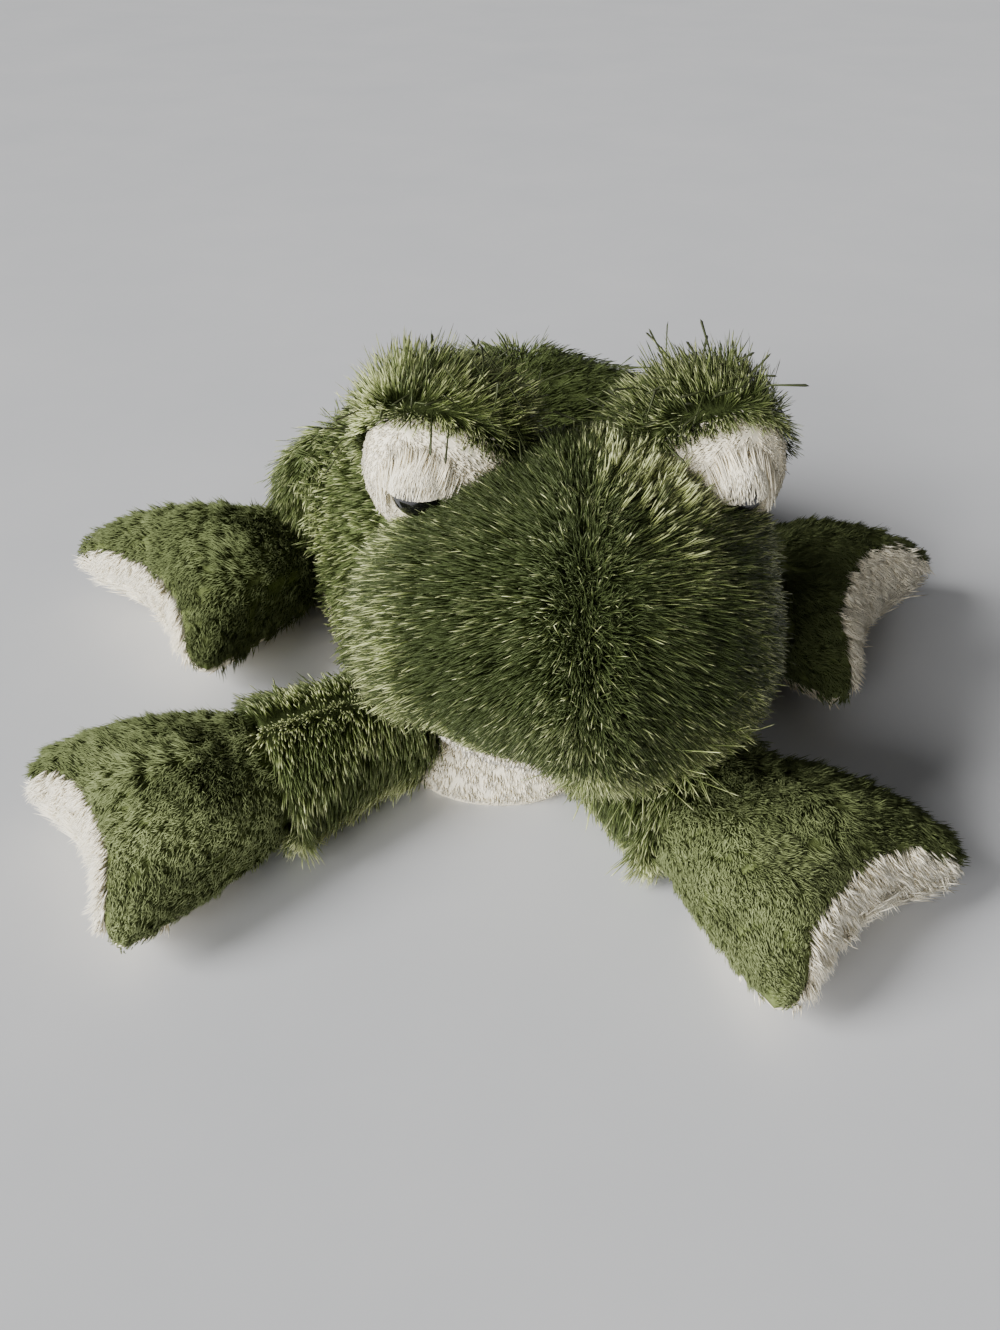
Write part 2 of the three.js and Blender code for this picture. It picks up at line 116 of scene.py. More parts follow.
def gridFaces(rows, cols):
    r, c = np.meshgrid(np.arange(rows - 1), np.arange(cols - 1), indexing="ij")
    at = r * cols + c
    return np.stack([at, at + 1, at + cols + 1, at + cols], -1).reshape(-1, 4)


# unit normals of a grid: the cross product of its two differences, turned away from the middle of the form
def gridNormals(grid, middle):
    across = np.cross(np.gradient(grid, axis=0), np.gradient(grid, axis=1))
    away = grid - np.asarray(middle, float)
    across = np.where(np.linalg.norm(across, axis=-1, keepdims=True) < 1e-9, away, across)
    normals = unit(across)
    return normals * (1 if (normals * away).sum() > 0 else -1)


def addObject(name, data):
    thing = bpy.data.objects.new(name, data)
    bpy.context.scene.collection.objects.link(thing)
    return thing


# a mesh that rides on a body; cloth is welded and its normals set outwards, strands bring their map
def putMesh(name, points, faces, material, body, uv=None):
    mesh = bpy.data.meshes.new(name)
    loops = np.concatenate([f.ravel() for f in faces]).astype(np.int32)
    sizes = np.concatenate([np.full(len(f), f.shape[1]) for f in faces])
    mesh.vertices.add(len(points))
    mesh.vertices.foreach_set("co", (points * mm).astype(np.float32).ravel())
    mesh.loops.add(len(loops))
    mesh.loops.foreach_set("vertex_index", loops)
    mesh.polygons.add(len(sizes))
    mesh.polygons.foreach_set("loop_start", np.concatenate([[0], np.cumsum(sizes)[:-1]]).astype(np.int32))
    mesh.update(calc_edges=True)
    if uv is None:
        work = bmesh.new()
        work.from_mesh(mesh)
        bmesh.ops.remove_doubles(work, verts=work.verts, dist=0.02 * mm)
        bmesh.ops.dissolve_degenerate(work, edges=work.edges, dist=0.01 * mm)
        bmesh.ops.recalc_face_normals(work, faces=work.faces)
        work.to_mesh(mesh)
        work.free()
    else:
        layer = mesh.uv_layers.new(name="OFBake")
        layer.uv.foreach_set("vector", uv[loops].astype(np.float32).ravel())
    mesh.materials.append(material)
    piece = addObject(name, mesh)
    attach(piece, body)
    return piece


# a cloth panel is a closed shell: the grid, the grid sunk along its normals by the cloth, and a rim between them
def clothPanel(name, grid, middle, thickness, material, body, node):
    normals = gridNormals(grid, middle)
    rows, cols = grid.shape[:2]
    count = rows * cols
    at = np.arange(count).reshape(rows, cols)
    outer = gridFaces(rows, cols)
    loop = np.concatenate([at[0], at[1:, -1], at[-1, -2::-1], at[-2:0:-1, 0]])
    after = np.roll(loop, -1)
    rim = np.stack([after, loop, loop + count, after + count], -1)
    points = np.concatenate([grid.reshape(-1, 3), (grid - normals * thickness).reshape(-1, 3)])
    points[:, 2] = np.maximum(points[:, 2], 0)
    piece = putMesh(name, points, [outer, outer[:, ::-1] + count, rim], material, body)
    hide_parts(node)
    return grid, normals


# a closed form is one grid whose ends are points and whose sides meet
def closedForm(name, grid, middle, material, body, node):
    piece = putMesh(name, grid.reshape(-1, 3), [gridFaces(*grid.shape[:2])], material, body)
    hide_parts(node)
    return grid, gridNormals(grid, middle)


# roots spread over a panel, as many to each triangle as its area times the share that keep gives its middle
def scatter(panel, pile, seed, keep, part=1.0):
    rng = np.random.default_rng(seed)
    grid, normals = panel
    count = int(pile["count"] * part)
    quads = gridFaces(*grid.shape[:2])
    triangles = np.concatenate([quads[:, [0, 1, 2]], quads[:, [0, 2, 3]]])
    corners = grid.reshape(-1, 3)[triangles]
    area = np.linalg.norm(np.cross(corners[:, 1] - corners[:, 0], corners[:, 2] - corners[:, 0]), axis=1)
    weight = area * np.clip(keep(corners.mean(1)), 0, None)
    picked = rng.choice(len(triangles), count, p=weight / weight.sum())
    a, b = rng.random(count), rng.random(count)
    over = a + b > 1
    a, b = np.where(over, 1 - a, a), np.where(over, 1 - b, b)
    share = np.stack([1 - a - b, a, b], 1)[..., None]
    roots = (corners[picked] * share).sum(1)
    return roots, unit((normals.reshape(-1, 3)[triangles[picked]] * share).sum(1))


# a strand is a spindle: a root point, rings at places drawn from these ranges of its length, a tip point
# with three corners to a ring it is round; with two it is a blade that lies flat on the cloth and bulges from it
bentStrand = dict(corners=3, rings=[(0.35, 0.5), (0.88, 0.95)], taper=[1.0, 0.85])
clubHair = dict(corners=3, rings=[(0.4, 0.6), (0.92, 0.97)], taper=[0.6, 1.0])
bluntBlade = dict(corners=2, rings=[(0.72, 0.93)], taper=[1.0])
softBlade = dict(corners=2, rings=[(0.4, 0.7)], taper=[1.0])

# what all pile shares: how much more a tip shakes, strays and lifts than its root, how much shorter than its tuft a
# strand may be, how width and shade vary, how far a painted glint lifts a strand's shade, how a blade rolls and
# bulges, how high roots and tips stay off the table
habit = dict(tipShake=1.6, tipStray=1.7, tipLift=0.8, shorter=0.35, thinnest=0.7, wider=0.6, patchy=0.15, vary=0.09,
             paintedGlint=0.5, across=0.006, roll=0.3, bulge=0.6, table=0.25, tipTable=0.5)


# the corners of a blade's rings: two, across its chord, about a middle that bulges from the cloth
def bladeRings(path, steps, up, width):
    chord = path[:, -1:] - path[:, :1]
    up = unit(up - chord * dot(up, chord) / dot(chord, chord))
    middle = path[:, :1] + chord * steps
    middle = middle + up * np.maximum(dot(path[:, 1:-1] - middle, up), habit["bulge"] * width[..., None])
    around = unit(np.cross(chord, up))[:, :, None] * np.array([[-1.0], [1.0]])
    return middle[:, :, None] + around * width[..., None, None]


# the corners of a round strand's rings: three, about its path
def roundRings(path, wild, width):
    along = unit(np.gradient(path, axis=1))
    first = unit(np.cross(along, wild))[:, 1:-1]
    second = np.cross(along[:, 1:-1], first)
    turn = np.arange(3) * 2 * np.pi / 3
    around = first[:, :, None] * np.cos(turn)[:, None] + second[:, :, None] * np.sin(turn)[:, None]
    return path[:, 1:-1, None] + around * width[..., None, None]


# a blade is four triangles; a round strand has a fan at its root, quads between its rings and a fan at its tip
def strandFaces(total, corners, rings):
    size = 2 + corners * rings
    if corners == 2:
        faces = [np.array([[0, 2, 1], [1, 2, 3], [0, 1, 3], [0, 3, 2]])]
    else:
        tip, i = size - 1, np.arange(3)
        j = (i + 1) % 3
        faces = [np.stack([0 * i, 1 + j, 1 + i], -1), np.stack([tip - 3 + i, tip - 3 + j, 0 * i + tip], -1)]
        faces += [np.stack([i, j, 3 + j, 3 + i], -1) + 1 + 3 * k for k in range(rings - 1)]
    base = (np.arange(total) * size)[:, None, None]
    return [(f[None] + base).reshape(-1, f.shape[1]) for f in faces]


# pile: each tuft's strands leave the cloth on a mix of its normal and the comb, and bend on towards the comb
# place along a strand = root + length * (start * s + (finish - start) * s^2 / 2)
# its map holds its shade across and the way from root to tip along, so its colour is a lookup
# long scales the length, lift stands the strands up, light moves their shade and clump draws the tips of a tuft
# together, each for all or for each root; clear moves the paths off what they would run into
def growPile(name, roots, normals, comb, pile, seed, material, body, clear=None, long=1.0, lift=0.0, light=0.0,
             clump=0.0):
    rng = np.random.default_rng(seed)
    tufts, per, strand = len(roots), pile["perTuft"], pile["strand"]
    comb = unit(comb - normals * dot(comb, normals))
    cross = np.cross(normals, comb)
    shake = rng.normal(0, pile["shake"], (tufts, 3))
    lift = np.broadcast_to(lift, tufts)[:, None]
    start = unit(mix(comb, normals, pile["stand"] + lift) + shake)
    finish = unit(mix(comb, normals, pile["tipStand"] + habit["tipLift"] * lift) + shake * habit["tipShake"]
                  + [0, 0, -pile["sag"]])
    length = pile["length"] * long * (1 - pile["uneven"] * rng.random(tufts) ** 1.5)
    shade = 0.5 + light + habit["patchy"] * waves(roots, pile["patch"], seed) + rng.normal(0, pile["vary"], tufts)

    # from the tufts to their strands
    many = lambda v: np.repeat(v, per, axis=0)
    total = tufts * per
    angle, far = rng.uniform(0, 2 * np.pi, total), np.sqrt(rng.random(total)) * pile["spread"]
    offset = many(comb) * (far * np.cos(angle))[:, None] + many(cross) * (far * np.sin(angle))[:, None]
    own = rng.normal(0, pile["stray"], (total, 3))
    start, finish = unit(many(start) + own), unit(many(finish) + own * habit["tipStray"])
    length = (many(length) * (1 - habit["shorter"] * rng.random(total)))[:, None, None]
    reach = np.stack([np.zeros(total)] + [rng.uniform(*r, total) for r in strand["rings"]] + [np.ones(total)], 1)
    steps = reach[..., None]
    path = (many(roots) + offset)[:, None] + length * (
        start[:, None] * steps + (finish - start)[:, None] * steps ** 2 / 2)
    gather = many(np.broadcast_to(pile["gather"] + clump, tufts))[:, None, None]
    path = path - offset[:, None] * gather * steps
    if clear is not None:
        path = clear(path)
    path[..., 2] = np.maximum(path[..., 2], habit["table"] + habit["tipTable"] * reach * rng.random((total, 1)))

    corners, taper = strand["corners"], np.array(strand["taper"])
    wild = rng.normal(size=(total, 1, 3))
    width = (pile["width"] * (habit["thinnest"] + habit["wider"] * rng.random(total)))[:, None] * taper / 2
    if corners == 2:
        rings = bladeRings(path, steps[:, 1:-1], unit(many(normals)[:, None] + habit["roll"] * wild), width)
    else:
        rings = roundRings(path, wild, width)
    points = np.concatenate([path[:, :1], rings.reshape(total, -1, 3), path[:, -1:]], 1)
    faces = strandFaces(total, corners, len(taper))

    # a share of the strands get a painted glint: their shade is lifted towards the pale ramp, a highlight painted into
    # colour
    paintedGlint = habit["paintedGlint"] * (rng.random(total) < pile.get("paintedGlints", 0))
    shade = np.clip(many(shade) + rng.normal(0, habit["vary"], total) + paintedGlint, 0.02, 0.98)
    side = np.concatenate([[0], np.tile(np.linspace(-1, 1, corners), len(taper)), [0]]) * habit["across"]
    reach = np.concatenate([reach[:, :1], np.repeat(reach[:, 1:-1], corners, axis=1), reach[:, -1:]], 1)
    uv = joined(shade[:, None] + side, 0.01 + 0.98 * reach).reshape(-1, 2)
    putMesh(name, points.reshape(-1, 3), faces, material, body, uv=uv)
    print("pile", name, total, "strands", sum(len(f) * (f.shape[1] - 2) for f in faces), "triangles")


# colours and finishes

# a screen colour from 0 to 255 as the linear one that shaders take
def tone(r, g, b):
    v = np.array([r, g, b]) / 255
    return (*np.where(v <= 0.04045, v / 12.92, ((v + 0.055) / 1.055) ** 2.4), 1.0)


sockets = dict(roughness="Roughness", specular="Specular IOR Level", glint="Specular Tint", sheen="Sheen Weight",
               sheenRoughness="Sheen Roughness", coat="Coat Weight")


def newMaterial(name, look):
    material = bpy.data.materials.new(name)
    material.use_nodes = True
    nodes, links = material.node_tree.nodes, material.node_tree.links
    shader = nodes["Principled BSDF"]
    for key, socket in sockets.items():
        if key in look:
            shader.inputs[socket].default_value = look[key]
    return material, nodes, links, shader


# a colour ramp with screen colours at its stops
def ramp(nodes, stops):
    node = nodes.new("ShaderNodeValToRGB")
    while len(node.color_ramp.elements) < len(stops):
        node.color_ramp.elements.new(0.5)
    for element, (place, colour) in zip(node.color_ramp.elements, stops):
        element.position = place
        element.color = tone(*colour)
    return node


# pile colour: two ramps from root to tip, mixed by how far the strand's own shade is past the turn from dark to pale
def pileMaterial(name, look):
    material, nodes, links, shader = newMaterial(name, look)
    place = nodes.new("ShaderNodeUVMap")
    place.uv_map = "OFBake"
    split = nodes.new("ShaderNodeSeparateXYZ")
    links.new(place.outputs["UV"], split.inputs[0])
    dark, pale = ramp(nodes, look["dark"]), ramp(nodes, look["pale"])
    links.new(split.outputs["Y"], dark.inputs["Fac"])
    links.new(split.outputs["Y"], pale.inputs["Fac"])
    turn = ramp(nodes, [(look["turn"][0], (0, 0, 0)), (look["turn"][1], (255, 255, 255))])
    links.new(split.outputs["X"], turn.inputs["Fac"])
    blend = nodes.new("ShaderNodeMix")
    blend.data_type = "RGBA"
    links.new(turn.outputs["Color"], blend.inputs["Factor"])
    links.new(dark.outputs["Color"], blend.inputs["A"])
    links.new(pale.outputs["Color"], blend.inputs["B"])
    links.new(blend.outputs["Result"], shader.inputs["Base Color"])
    return material


# cloth, fibre and plastic: two colours mixed by noise of a size, with bump from the same noise
def mottledMaterial(name, look):
    material, nodes, links, shader = newMaterial(name, look)
    place = nodes.new("ShaderNodeTexCoord")
    noise = nodes.new("ShaderNodeTexNoise")
    noise.inputs["Scale"].default_value = 1000 / look["size"]
    noise.inputs["Detail"].default_value = 6
    noise.inputs["Roughness"].default_value = 0.65
    links.new(place.outputs["Object"], noise.inputs["Vector"])
    colours = ramp(nodes, [(0.3, look["dark"]), (0.7, look["light"])])
    links.new(noise.outputs["Fac"], colours.inputs["Fac"])
    links.new(colours.outputs["Color"], shader.inputs["Base Color"])
    bump = nodes.new("ShaderNodeBump")
    bump.inputs["Strength"].default_value = look["bump"]
    bump.inputs["Distance"].default_value = look["size"] * mm / 3
    links.new(noise.outputs["Fac"], bump.inputs["Height"])
    links.new(bump.outputs["Normal"], shader.inputs["Normal"])
    return material


shagLook = dict(
    slot="shag_green",
    dark=[(0.0, (58, 67, 37)), (0.5, (57, 66, 36)), (1.0, (63, 73, 40))],
    pale=[(0.0, (60, 70, 36)), (0.45, (84, 96, 50)), (0.7, (130, 142, 80)), (0.88, (206, 211, 150)),
          (1.0, (238, 239, 198))],
    turn=(0.42, 0.95), roughness=0.36, specular=0.3, glint=(0.9, 1.0, 0.62, 1))
minkyLook = dict(
    slot="plush_green",
    dark=[(0.0, (84, 92, 56)), (0.5, (89, 97, 60)), (1.0, (96, 105, 67))],
    pale=[(0.0, (116, 125, 81)), (0.5, (132, 141, 94)), (1.0, (150, 159, 112))],
    turn=(0.05, 0.95), roughness=0.8, specular=0.1, glint=(0.92, 1.0, 0.75, 1))
whiteLook = dict(
    slot="plush_white",
    dark=[(0.0, (248, 237, 208)), (0.5, (249, 239, 212)), (1.0, (250, 241, 216))],
    pale=[(0.0, (251, 242, 216)), (0.5, (252, 244, 221)), (1.0, (253, 247, 226))],
    turn=(0.1, 0.9), roughness=0.8, specular=0.15, sheen=0.2, sheenRoughness=0.4)
shagPile = pileMaterial("shagPile", shagLook)
# the pile of the back, sleeves and thighs: its roots are painted lighter than its tips, a painted light that fills the
# shade between the strands
sidePile = pileMaterial("shagSidePile", dict(
    shagLook, dark=[(0.0, (92, 104, 60)), (0.5, (80, 91, 51)), (1.0, (78, 89, 50))]))
# the pale ramp of the tufts between the eyes, a painted highlight
paintedGleamPile = pileMaterial("shagPaintedGleamPile", dict(
    shagLook, pale=[(0.0, (66, 76, 40)), (0.3, (104, 116, 62)), (0.6, (166, 175, 108)),
                    (0.85, (212, 217, 158)), (1.0, (238, 239, 198))]))
minkyPile = pileMaterial("minkyPile", minkyLook)
whitePile = pileMaterial("whitePile", whiteLook)
strayHair = pileMaterial("strayHair", dict(
    shagLook, dark=[(0.0, (66, 76, 38)), (1.0, (48, 50, 36))],
    pale=[(0.0, (84, 96, 50)), (1.0, (66, 70, 48))]))
backing = dict(size=0.7, bump=0.8, roughness=1.0, specular=0.05)
shagCloth = mottledMaterial("shagBacking", dict(
    backing, slot="shag_green", dark=(44, 51, 27), light=(64, 73, 39)))
# the cloth of the back and thighs is painted lighter, a painted light for the shade in the gaps of its pile
sideCloth = mottledMaterial("shagSideBacking", dict(
    backing, slot="shag_green", dark=(80, 91, 52), light=(100, 112, 66)))
minkyCloth = mottledMaterial("minkyBacking", dict(
    backing, slot="plush_green", dark=(84, 93, 54), light=(112, 122, 74)))
whiteCloth = mottledMaterial("whiteBacking", dict(
    backing, slot="plush_white", size=0.8, dark=(246, 236, 208), light=(251, 243, 221), bump=0.3))
fibre = mottledMaterial("fibrefill", dict(
    size=0.8, dark=(222, 220, 214), light=(246, 245, 241), bump=0.8, roughness=1.0, sheen=0.4))
lining = mottledMaterial("bagLining", dict(
    size=0.5, dark=(205, 201, 192), light=(226, 223, 214), bump=0.4, roughness=0.9))
pellets = mottledMaterial("pellets", dict(
    size=2.4, dark=(176, 180, 186), light=(214, 217, 221), bump=1.0, roughness=0.45))
washerPlastic = mottledMaterial("washerPlastic", dict(
    size=0.6, dark=(226, 226, 222), light=(238, 238, 234), bump=0.08, roughness=0.4))
eyeBlack = mottledMaterial("eyeBlack", dict(
    slot="eye_black", size=0.4, dark=(7, 7, 9), light=(12, 12, 14), bump=0.01, roughness=0.1, coat=1.0))

print("materials made")

# the forms, in millimetres in the frog's own frame: it looks along -y and its left is +x

sides = (("left", 1), ("right", -1))
bodyForm = dict(tip=-44.1, tail=46, places=[-37, -16, 15, 34], widths=[19, 25, 35, 29], tops=[12, 25, 39.5, 33],
                seam=7, sag=3, boxy=0.85, chest=-32, chestRun=7, groove=0.9, grooveHalf=1.3, headGap=1.2, limbGap=0.6)
headForm = dict(half=24, front=26.5, rear=21, top=19.5, bottom=11, boxy=0.88, mouth=-6.5, lip=3.6,
                pivot=(8.5, -15, 20), offset=(0, -20, 6.5), turn=4, pull=0.025, pullHalf=1.4)
mound = dict(radius=10, out=16.5, back=9, up=16.5, outward=17, downward=-5, lidTilt=33, seat=0.9, headGap=0.3)
hip = dict(x=27.5, y=15, radius=13, height=13.3)
shoulder = dict(x=15, y=-37, radius=7, height=7.5)


def headOut(points):
    return placed(points + headForm["offset"], headForm["turn"], headForm["pivot"])


def headIn(points):
    return unplaced(points, headForm["turn"], headForm["pivot"]) - headForm["offset"]


# directions from the head's own frame
def headWay(ways):
    return turned(ways, headForm["turn"])


headCentre = headOut(np.zeros(3))


# how far out a point is from the head's centre, with 1 on its surface: a rounded box's own measure
def headLevel(points, grow=0.0):
    q = headIn(points)
    long = np.where(q[..., 1] > 0, headForm["rear"], headForm["front"]) + grow
    tall = np.where(q[..., 2] > 0, headForm["top"], headForm["bottom"]) + grow
    power = 2 / headForm["boxy"]
    total = (np.abs(q[..., 0] / (headForm["half"] + grow)) ** power + np.abs(q[..., 1] / long) ** power
             + np.abs(q[..., 2] / tall) ** power)
    return np.maximum(total, 1e-9) ** (1 / power)


# points inside the head move straight out from its centre to its surface
def outOfHead(points, grow):
    level = np.minimum(headLevel(points, grow), 1)[..., None]
    return headCentre + (points - headCentre) / level


# points inside a ball at the side of the body move inwards to the ball's near face
def outOfSide(points, side, ball, grow):
    radius = ball["radius"] + grow
    flat = radius ** 2 - (points[..., 1] - ball["y"]) ** 2 - (points[..., 2] - ball["height"]) ** 2
    deep = ball["x"] - np.sqrt(np.maximum(flat, 0))
    out = points[..., 0] * side
    inside = (flat > 0) & (out > deep)
    result = points.copy()
    result[..., 0] = np.where(inside, side * deep, points[..., 0])
    return result


def ballCentre(ball, side):
    return np.array([side * ball["x"], ball["y"], ball["height"]])


def ballLevel(points, centre, radius):
    return np.linalg.norm(points - centre, axis=-1) / radius


# body: domes whose width and height follow the stations, flat on the table, with a shallow groove on the spine
def bodyAt(along, angle):
    y = mix(bodyForm["tip"], bodyForm["tail"], (along + 1) / 2)
    closing = np.sqrt(np.maximum(1 - np.abs(along) ** 5, 0))
    half = splineAt(y, bodyForm["places"], bodyForm["widths"]) * closing
    top = splineAt(y, bodyForm["places"], bodyForm["tops"]) * closing
    seam = np.minimum(bodyForm["seam"], top / 2)
    rise = np.where(np.sin(angle) > 0, top - seam, seam + bodyForm["sag"])
    x = half * signedPower(np.cos(angle), bodyForm["boxy"])
    z = seam + rise * signedPower(np.sin(angle), bodyForm["boxy"])
    groove = bodyForm["groove"] * np.exp(-(x / bodyForm["grooveHalf"]) ** 2) * closing
    groove = groove * smooth((y - bodyForm["chest"]) / 8)
    z = np.where(np.sin(angle) > 0, z - groove, z)
    points = joined(x, y, np.maximum(z, 0))
    points = outOfHead(points, bodyForm["headGap"])
    for _, side in sides:
        points = outOfSide(points, side, hip, bodyForm["limbGap"])
        points = outOfSide(points, side, shoulder, bodyForm["limbGap"])
    points[..., 2] = np.maximum(points[..., 2], 0)
    return points


bodyShows = dict(head=1.04, hip=1.09, shoulder=1.15)  # the level of each part past which the body is bare


# 0 where another part covers the body, 1 where the body is bare
def bodyBare(points):
    bare = headLevel(points, 0.5) > bodyShows["head"]
    for _, side in sides:
        bare &= ballLevel(points, ballCentre(hip, side), hip["radius"]) > bodyShows["hip"]
        bare &= ballLevel(points, ballCentre(shoulder, side), shoulder["radius"]) > bodyShows["shoulder"]
    return bare.astype(float)


# the turn at which the green back starts: low along the flanks, and just short of the top in front of the chest line
def chestTurn(along):
    y = mix(bodyForm["tip"], bodyForm["tail"], (along + 1) / 2)
    return np.pi / 2 * 0.9995 * smooth((bodyForm["chest"] - y) / bodyForm["chestRun"])


bodyMiddle = np.array([0, 0, 12.0])
backPile = dict(count=4300, perTuft=3, length=6.6, uneven=0.5, width=0.22, spread=0.8, gather=0.15, shake=0.1,
                stray=0.08, stand=0.15, tipStand=0.06, sag=0.15, patch=14, vary=0.13, strand=bluntBlade)
# the back's pile: its spine, ridge and light, and the painted shade and shorter pile in the dip behind the head
backLook = dict(spine=1.6, lean=1.5, ridge=4, ridgeLift=0.4, light=0.12, napePaintedShade=0.5, napeShort=0.3)
bellyPile = dict(count=1300, perTuft=6, length=2.8, uneven=0.4, width=0.2, spread=0.7, gather=0.3, shake=0.1,
                 stray=0.08, stand=0.05, tipStand=0.02, sag=0.05, patch=12, vary=0.1, strand=softBlade)
chestLook = dict(front=-30, denser=2.5, short=0.65, run=8)


def buildBody():
    along = np.sin(np.linspace(-1, 1, 84) * (np.pi / 2 - 0.002))[:, None]  # rings closer together at both ends
    chest = chestTurn(along)
    for name, side in sides:
        angle = mix(chest, np.pi / 2, np.linspace(0, 1, 36)[None])
        grid = bodyAt(along, angle if side > 0 else np.pi - angle)
        panel = clothPanel("backSkin" + name.title(), grid, bodyMiddle, 0.8, sideCloth, "torso",
                           f"back_{name}_panel")
        roots, ways = scatter(panel, backPile, 11 + side, bodyBare)
        x, y = roots[:, 0], roots[:, 1]
        # combed down the flank and fanned along it; the strands by the spine lean any way
        comb = joined(0.8 * side, 0.015 * (y + 20), -0.2)
        near = np.exp(-(x / backLook["spine"]) ** 2)[:, None]
        comb = comb + np.random.default_rng(15 + side).normal(0, backLook["lean"], comb.shape) * near
        # the dip behind the head: its pile is shorter there and painted darker, a painted shade
        nape = smooth((20 - np.abs(x)) / 8) * smooth((24 - y) / 12)  # the dip behind the head
        growPile("backPile" + name.title(), roots, ways, comb, backPile, 21 + side, sidePile, "torso",
                 lift=backLook["ridgeLift"] * np.exp(-np.abs(x) / backLook["ridge"]),
                 light=backLook["light"] - backLook["napePaintedShade"] * nape, long=1 - backLook["napeShort"] * nape)
    grid = bodyAt(along, mix(np.pi - chest, 2 * np.pi + chest, np.linspace(0, 1, 80)[None]))
    panel = clothPanel("bellySkin", grid, bodyMiddle, 0.7, whiteCloth, "torso", "belly_panel")
    bare = lambda p: bodyBare(p) * (p[:, 2] > 0.6) * np.where(p[:, 1] < chestLook["front"], chestLook["denser"], 1)
    roots, ways = scatter(panel, bellyPile, 31, bare)
    comb = fanned(roots, 0.03, (roots[:, 1] + 25) * 0.02, -0.6)
    long = mix(1.0, chestLook["short"], smooth((bodyForm["chest"] - roots[:, 1]) / chestLook["run"]))
    growPile("bellyPile", roots, ways, comb, bellyPile, 32, whitePile, "torso", long=long)


# head: a rounded box with a flatter underside, pulled in along its middle seam
def headAt(angle, latitude):
    reach = np.cos(latitude) ** headForm["boxy"]
    z = np.where(latitude > 0, headForm["top"], headForm["bottom"]) * signedPower(np.sin(latitude), headForm["boxy"])
    x = headForm["half"] * reach * signedPower(np.cos(angle), headForm["boxy"])
    y = np.where(np.sin(angle) > 0, headForm["rear"], headForm["front"]) * reach
    y = y * signedPower(np.sin(angle), headForm["boxy"])
    points = joined(x, y, z)
    pull = 1 - headForm["pull"] * np.exp(-(points[..., :1] / headForm["pullHalf"]) ** 2)
    return points * np.where(points[..., 2:] > headForm["mouth"], pull, 1)


def eyeCentre(side):
    return np.array([side * mound["out"], mound["back"], mound["up"]])


# the way that an eye mound faces, so many degrees down
def facing(side, down):
    down, out = np.radians(down), np.radians(side * mound["outward"])
    return np.array([np.cos(down) * np.sin(out), -np.cos(down) * np.cos(out), -np.sin(down)])


# the face's pile; a share of its strands get a painted glint
headPile = dict(perTuft=4, length=6.6, uneven=0.45, width=0.11, spread=0.8, gather=0.05, shake=0.06, stray=0.08,
                stand=0.15, tipStand=0.03, sag=0.03, patch=11, vary=0.09, paintedGlints=0.05, strand=bluntBlade)
headZones = dict(face=dict(count=11000, above=-1, seed=41), crown=dict(count=8200, above=1, seed=44))
# the face: its rim, the gleam spot on the crown, the fringe over the mouth and the strands low by the mouth get
# painted light in their pale tips, and the dusk spot between the eyes gets a painted shade
headLook = dict(
    split=5, parting=(4.5, -15, 10), seam=2.2, lean=10, seamShort=0.25, seamLift=0.45, lipShort=0.3, lipRun=8,
    hangLong=0.25, outerLong=dict(left=1.1, right=1.6), outerLift=dict(left=0, right=0.12),
    eyeShort=dict(left=0.15, right=0.5), eyeLift=dict(left=0.4, right=0.2), light=-0.22, rimPaintedLight=0.92,
    gleamPaintedLight=1.3, lowPaintedLight=0.38, duskPaintedShade=0.1, clump=0.45, pale=0.27, paleGleam=0.25, dull=0.1)
# where the painted highlight (gleam), the painted shade (dusk) and the tufts of painted highlight sit
crownSpots = dict(gleam=(9, 2, 6, 11), dusk=(-4, 0, 5, 12), tufts=(7.5, 3, 4.5, 9))  # centres and half widths
# tufts between the eyes whose pale tips are a painted highlight
gleamPile = dict(count=480, perTuft=6, length=6.6, uneven=0.4, width=0.17, spread=0.4, gather=0.4, shake=0.1,
                 stray=0.06, stand=0.38, tipStand=0.34, sag=0.0, patch=9, vary=0.2, strand=bluntBlade)
snoutHair = dict(count=90, perTuft=1, length=12, uneven=0.5, width=0.15, spread=0.1, gather=0, shake=0.4, stray=0.3,
                 stand=0.35, tipStand=0.1, sag=0.35, patch=9, vary=0.1, strand=bentStrand)
lipPile = dict(count=450, perTuft=8, length=2.4, uneven=0.4, width=0.28, spread=0.7, gather=0.3, shake=0.15,
               stray=0.1, stand=0.15, tipStand=0.05, sag=0.2, patch=12, vary=0.1, strand=softBlade)
chinPile = dict(count=800, perTuft=7, length=3.0, uneven=0.4, width=0.28, spread=0.7, gather=0.4, shake=0.18,
                stray=0.12, stand=0.2, tipStand=0.05, sag=0.2, patch=12, vary=0.1, strand=softBlade)
chinComb = np.array([0, 0.2, -1.0])


# the line where the green pile starts: the mouth seam, and higher on the right half of the mouth
def lipAt(x):
    return headForm["mouth"] + headForm["lip"] * smooth((x + 20) / 5) * smooth((-0.5 - x) / 5)


# a soft spot seen from above: 1 at its centre, fading over its two half widths
def spotAt(q, spot):
    x, y, wide, deep = spot
    return np.exp(-((q[:, 0] - x) / wide) ** 2 - ((q[:, 1] - y) / deep) ** 2)


def offMound(q, side, level):
    return ballLevel(q, eyeCentre(side), mound["radius"]) > level


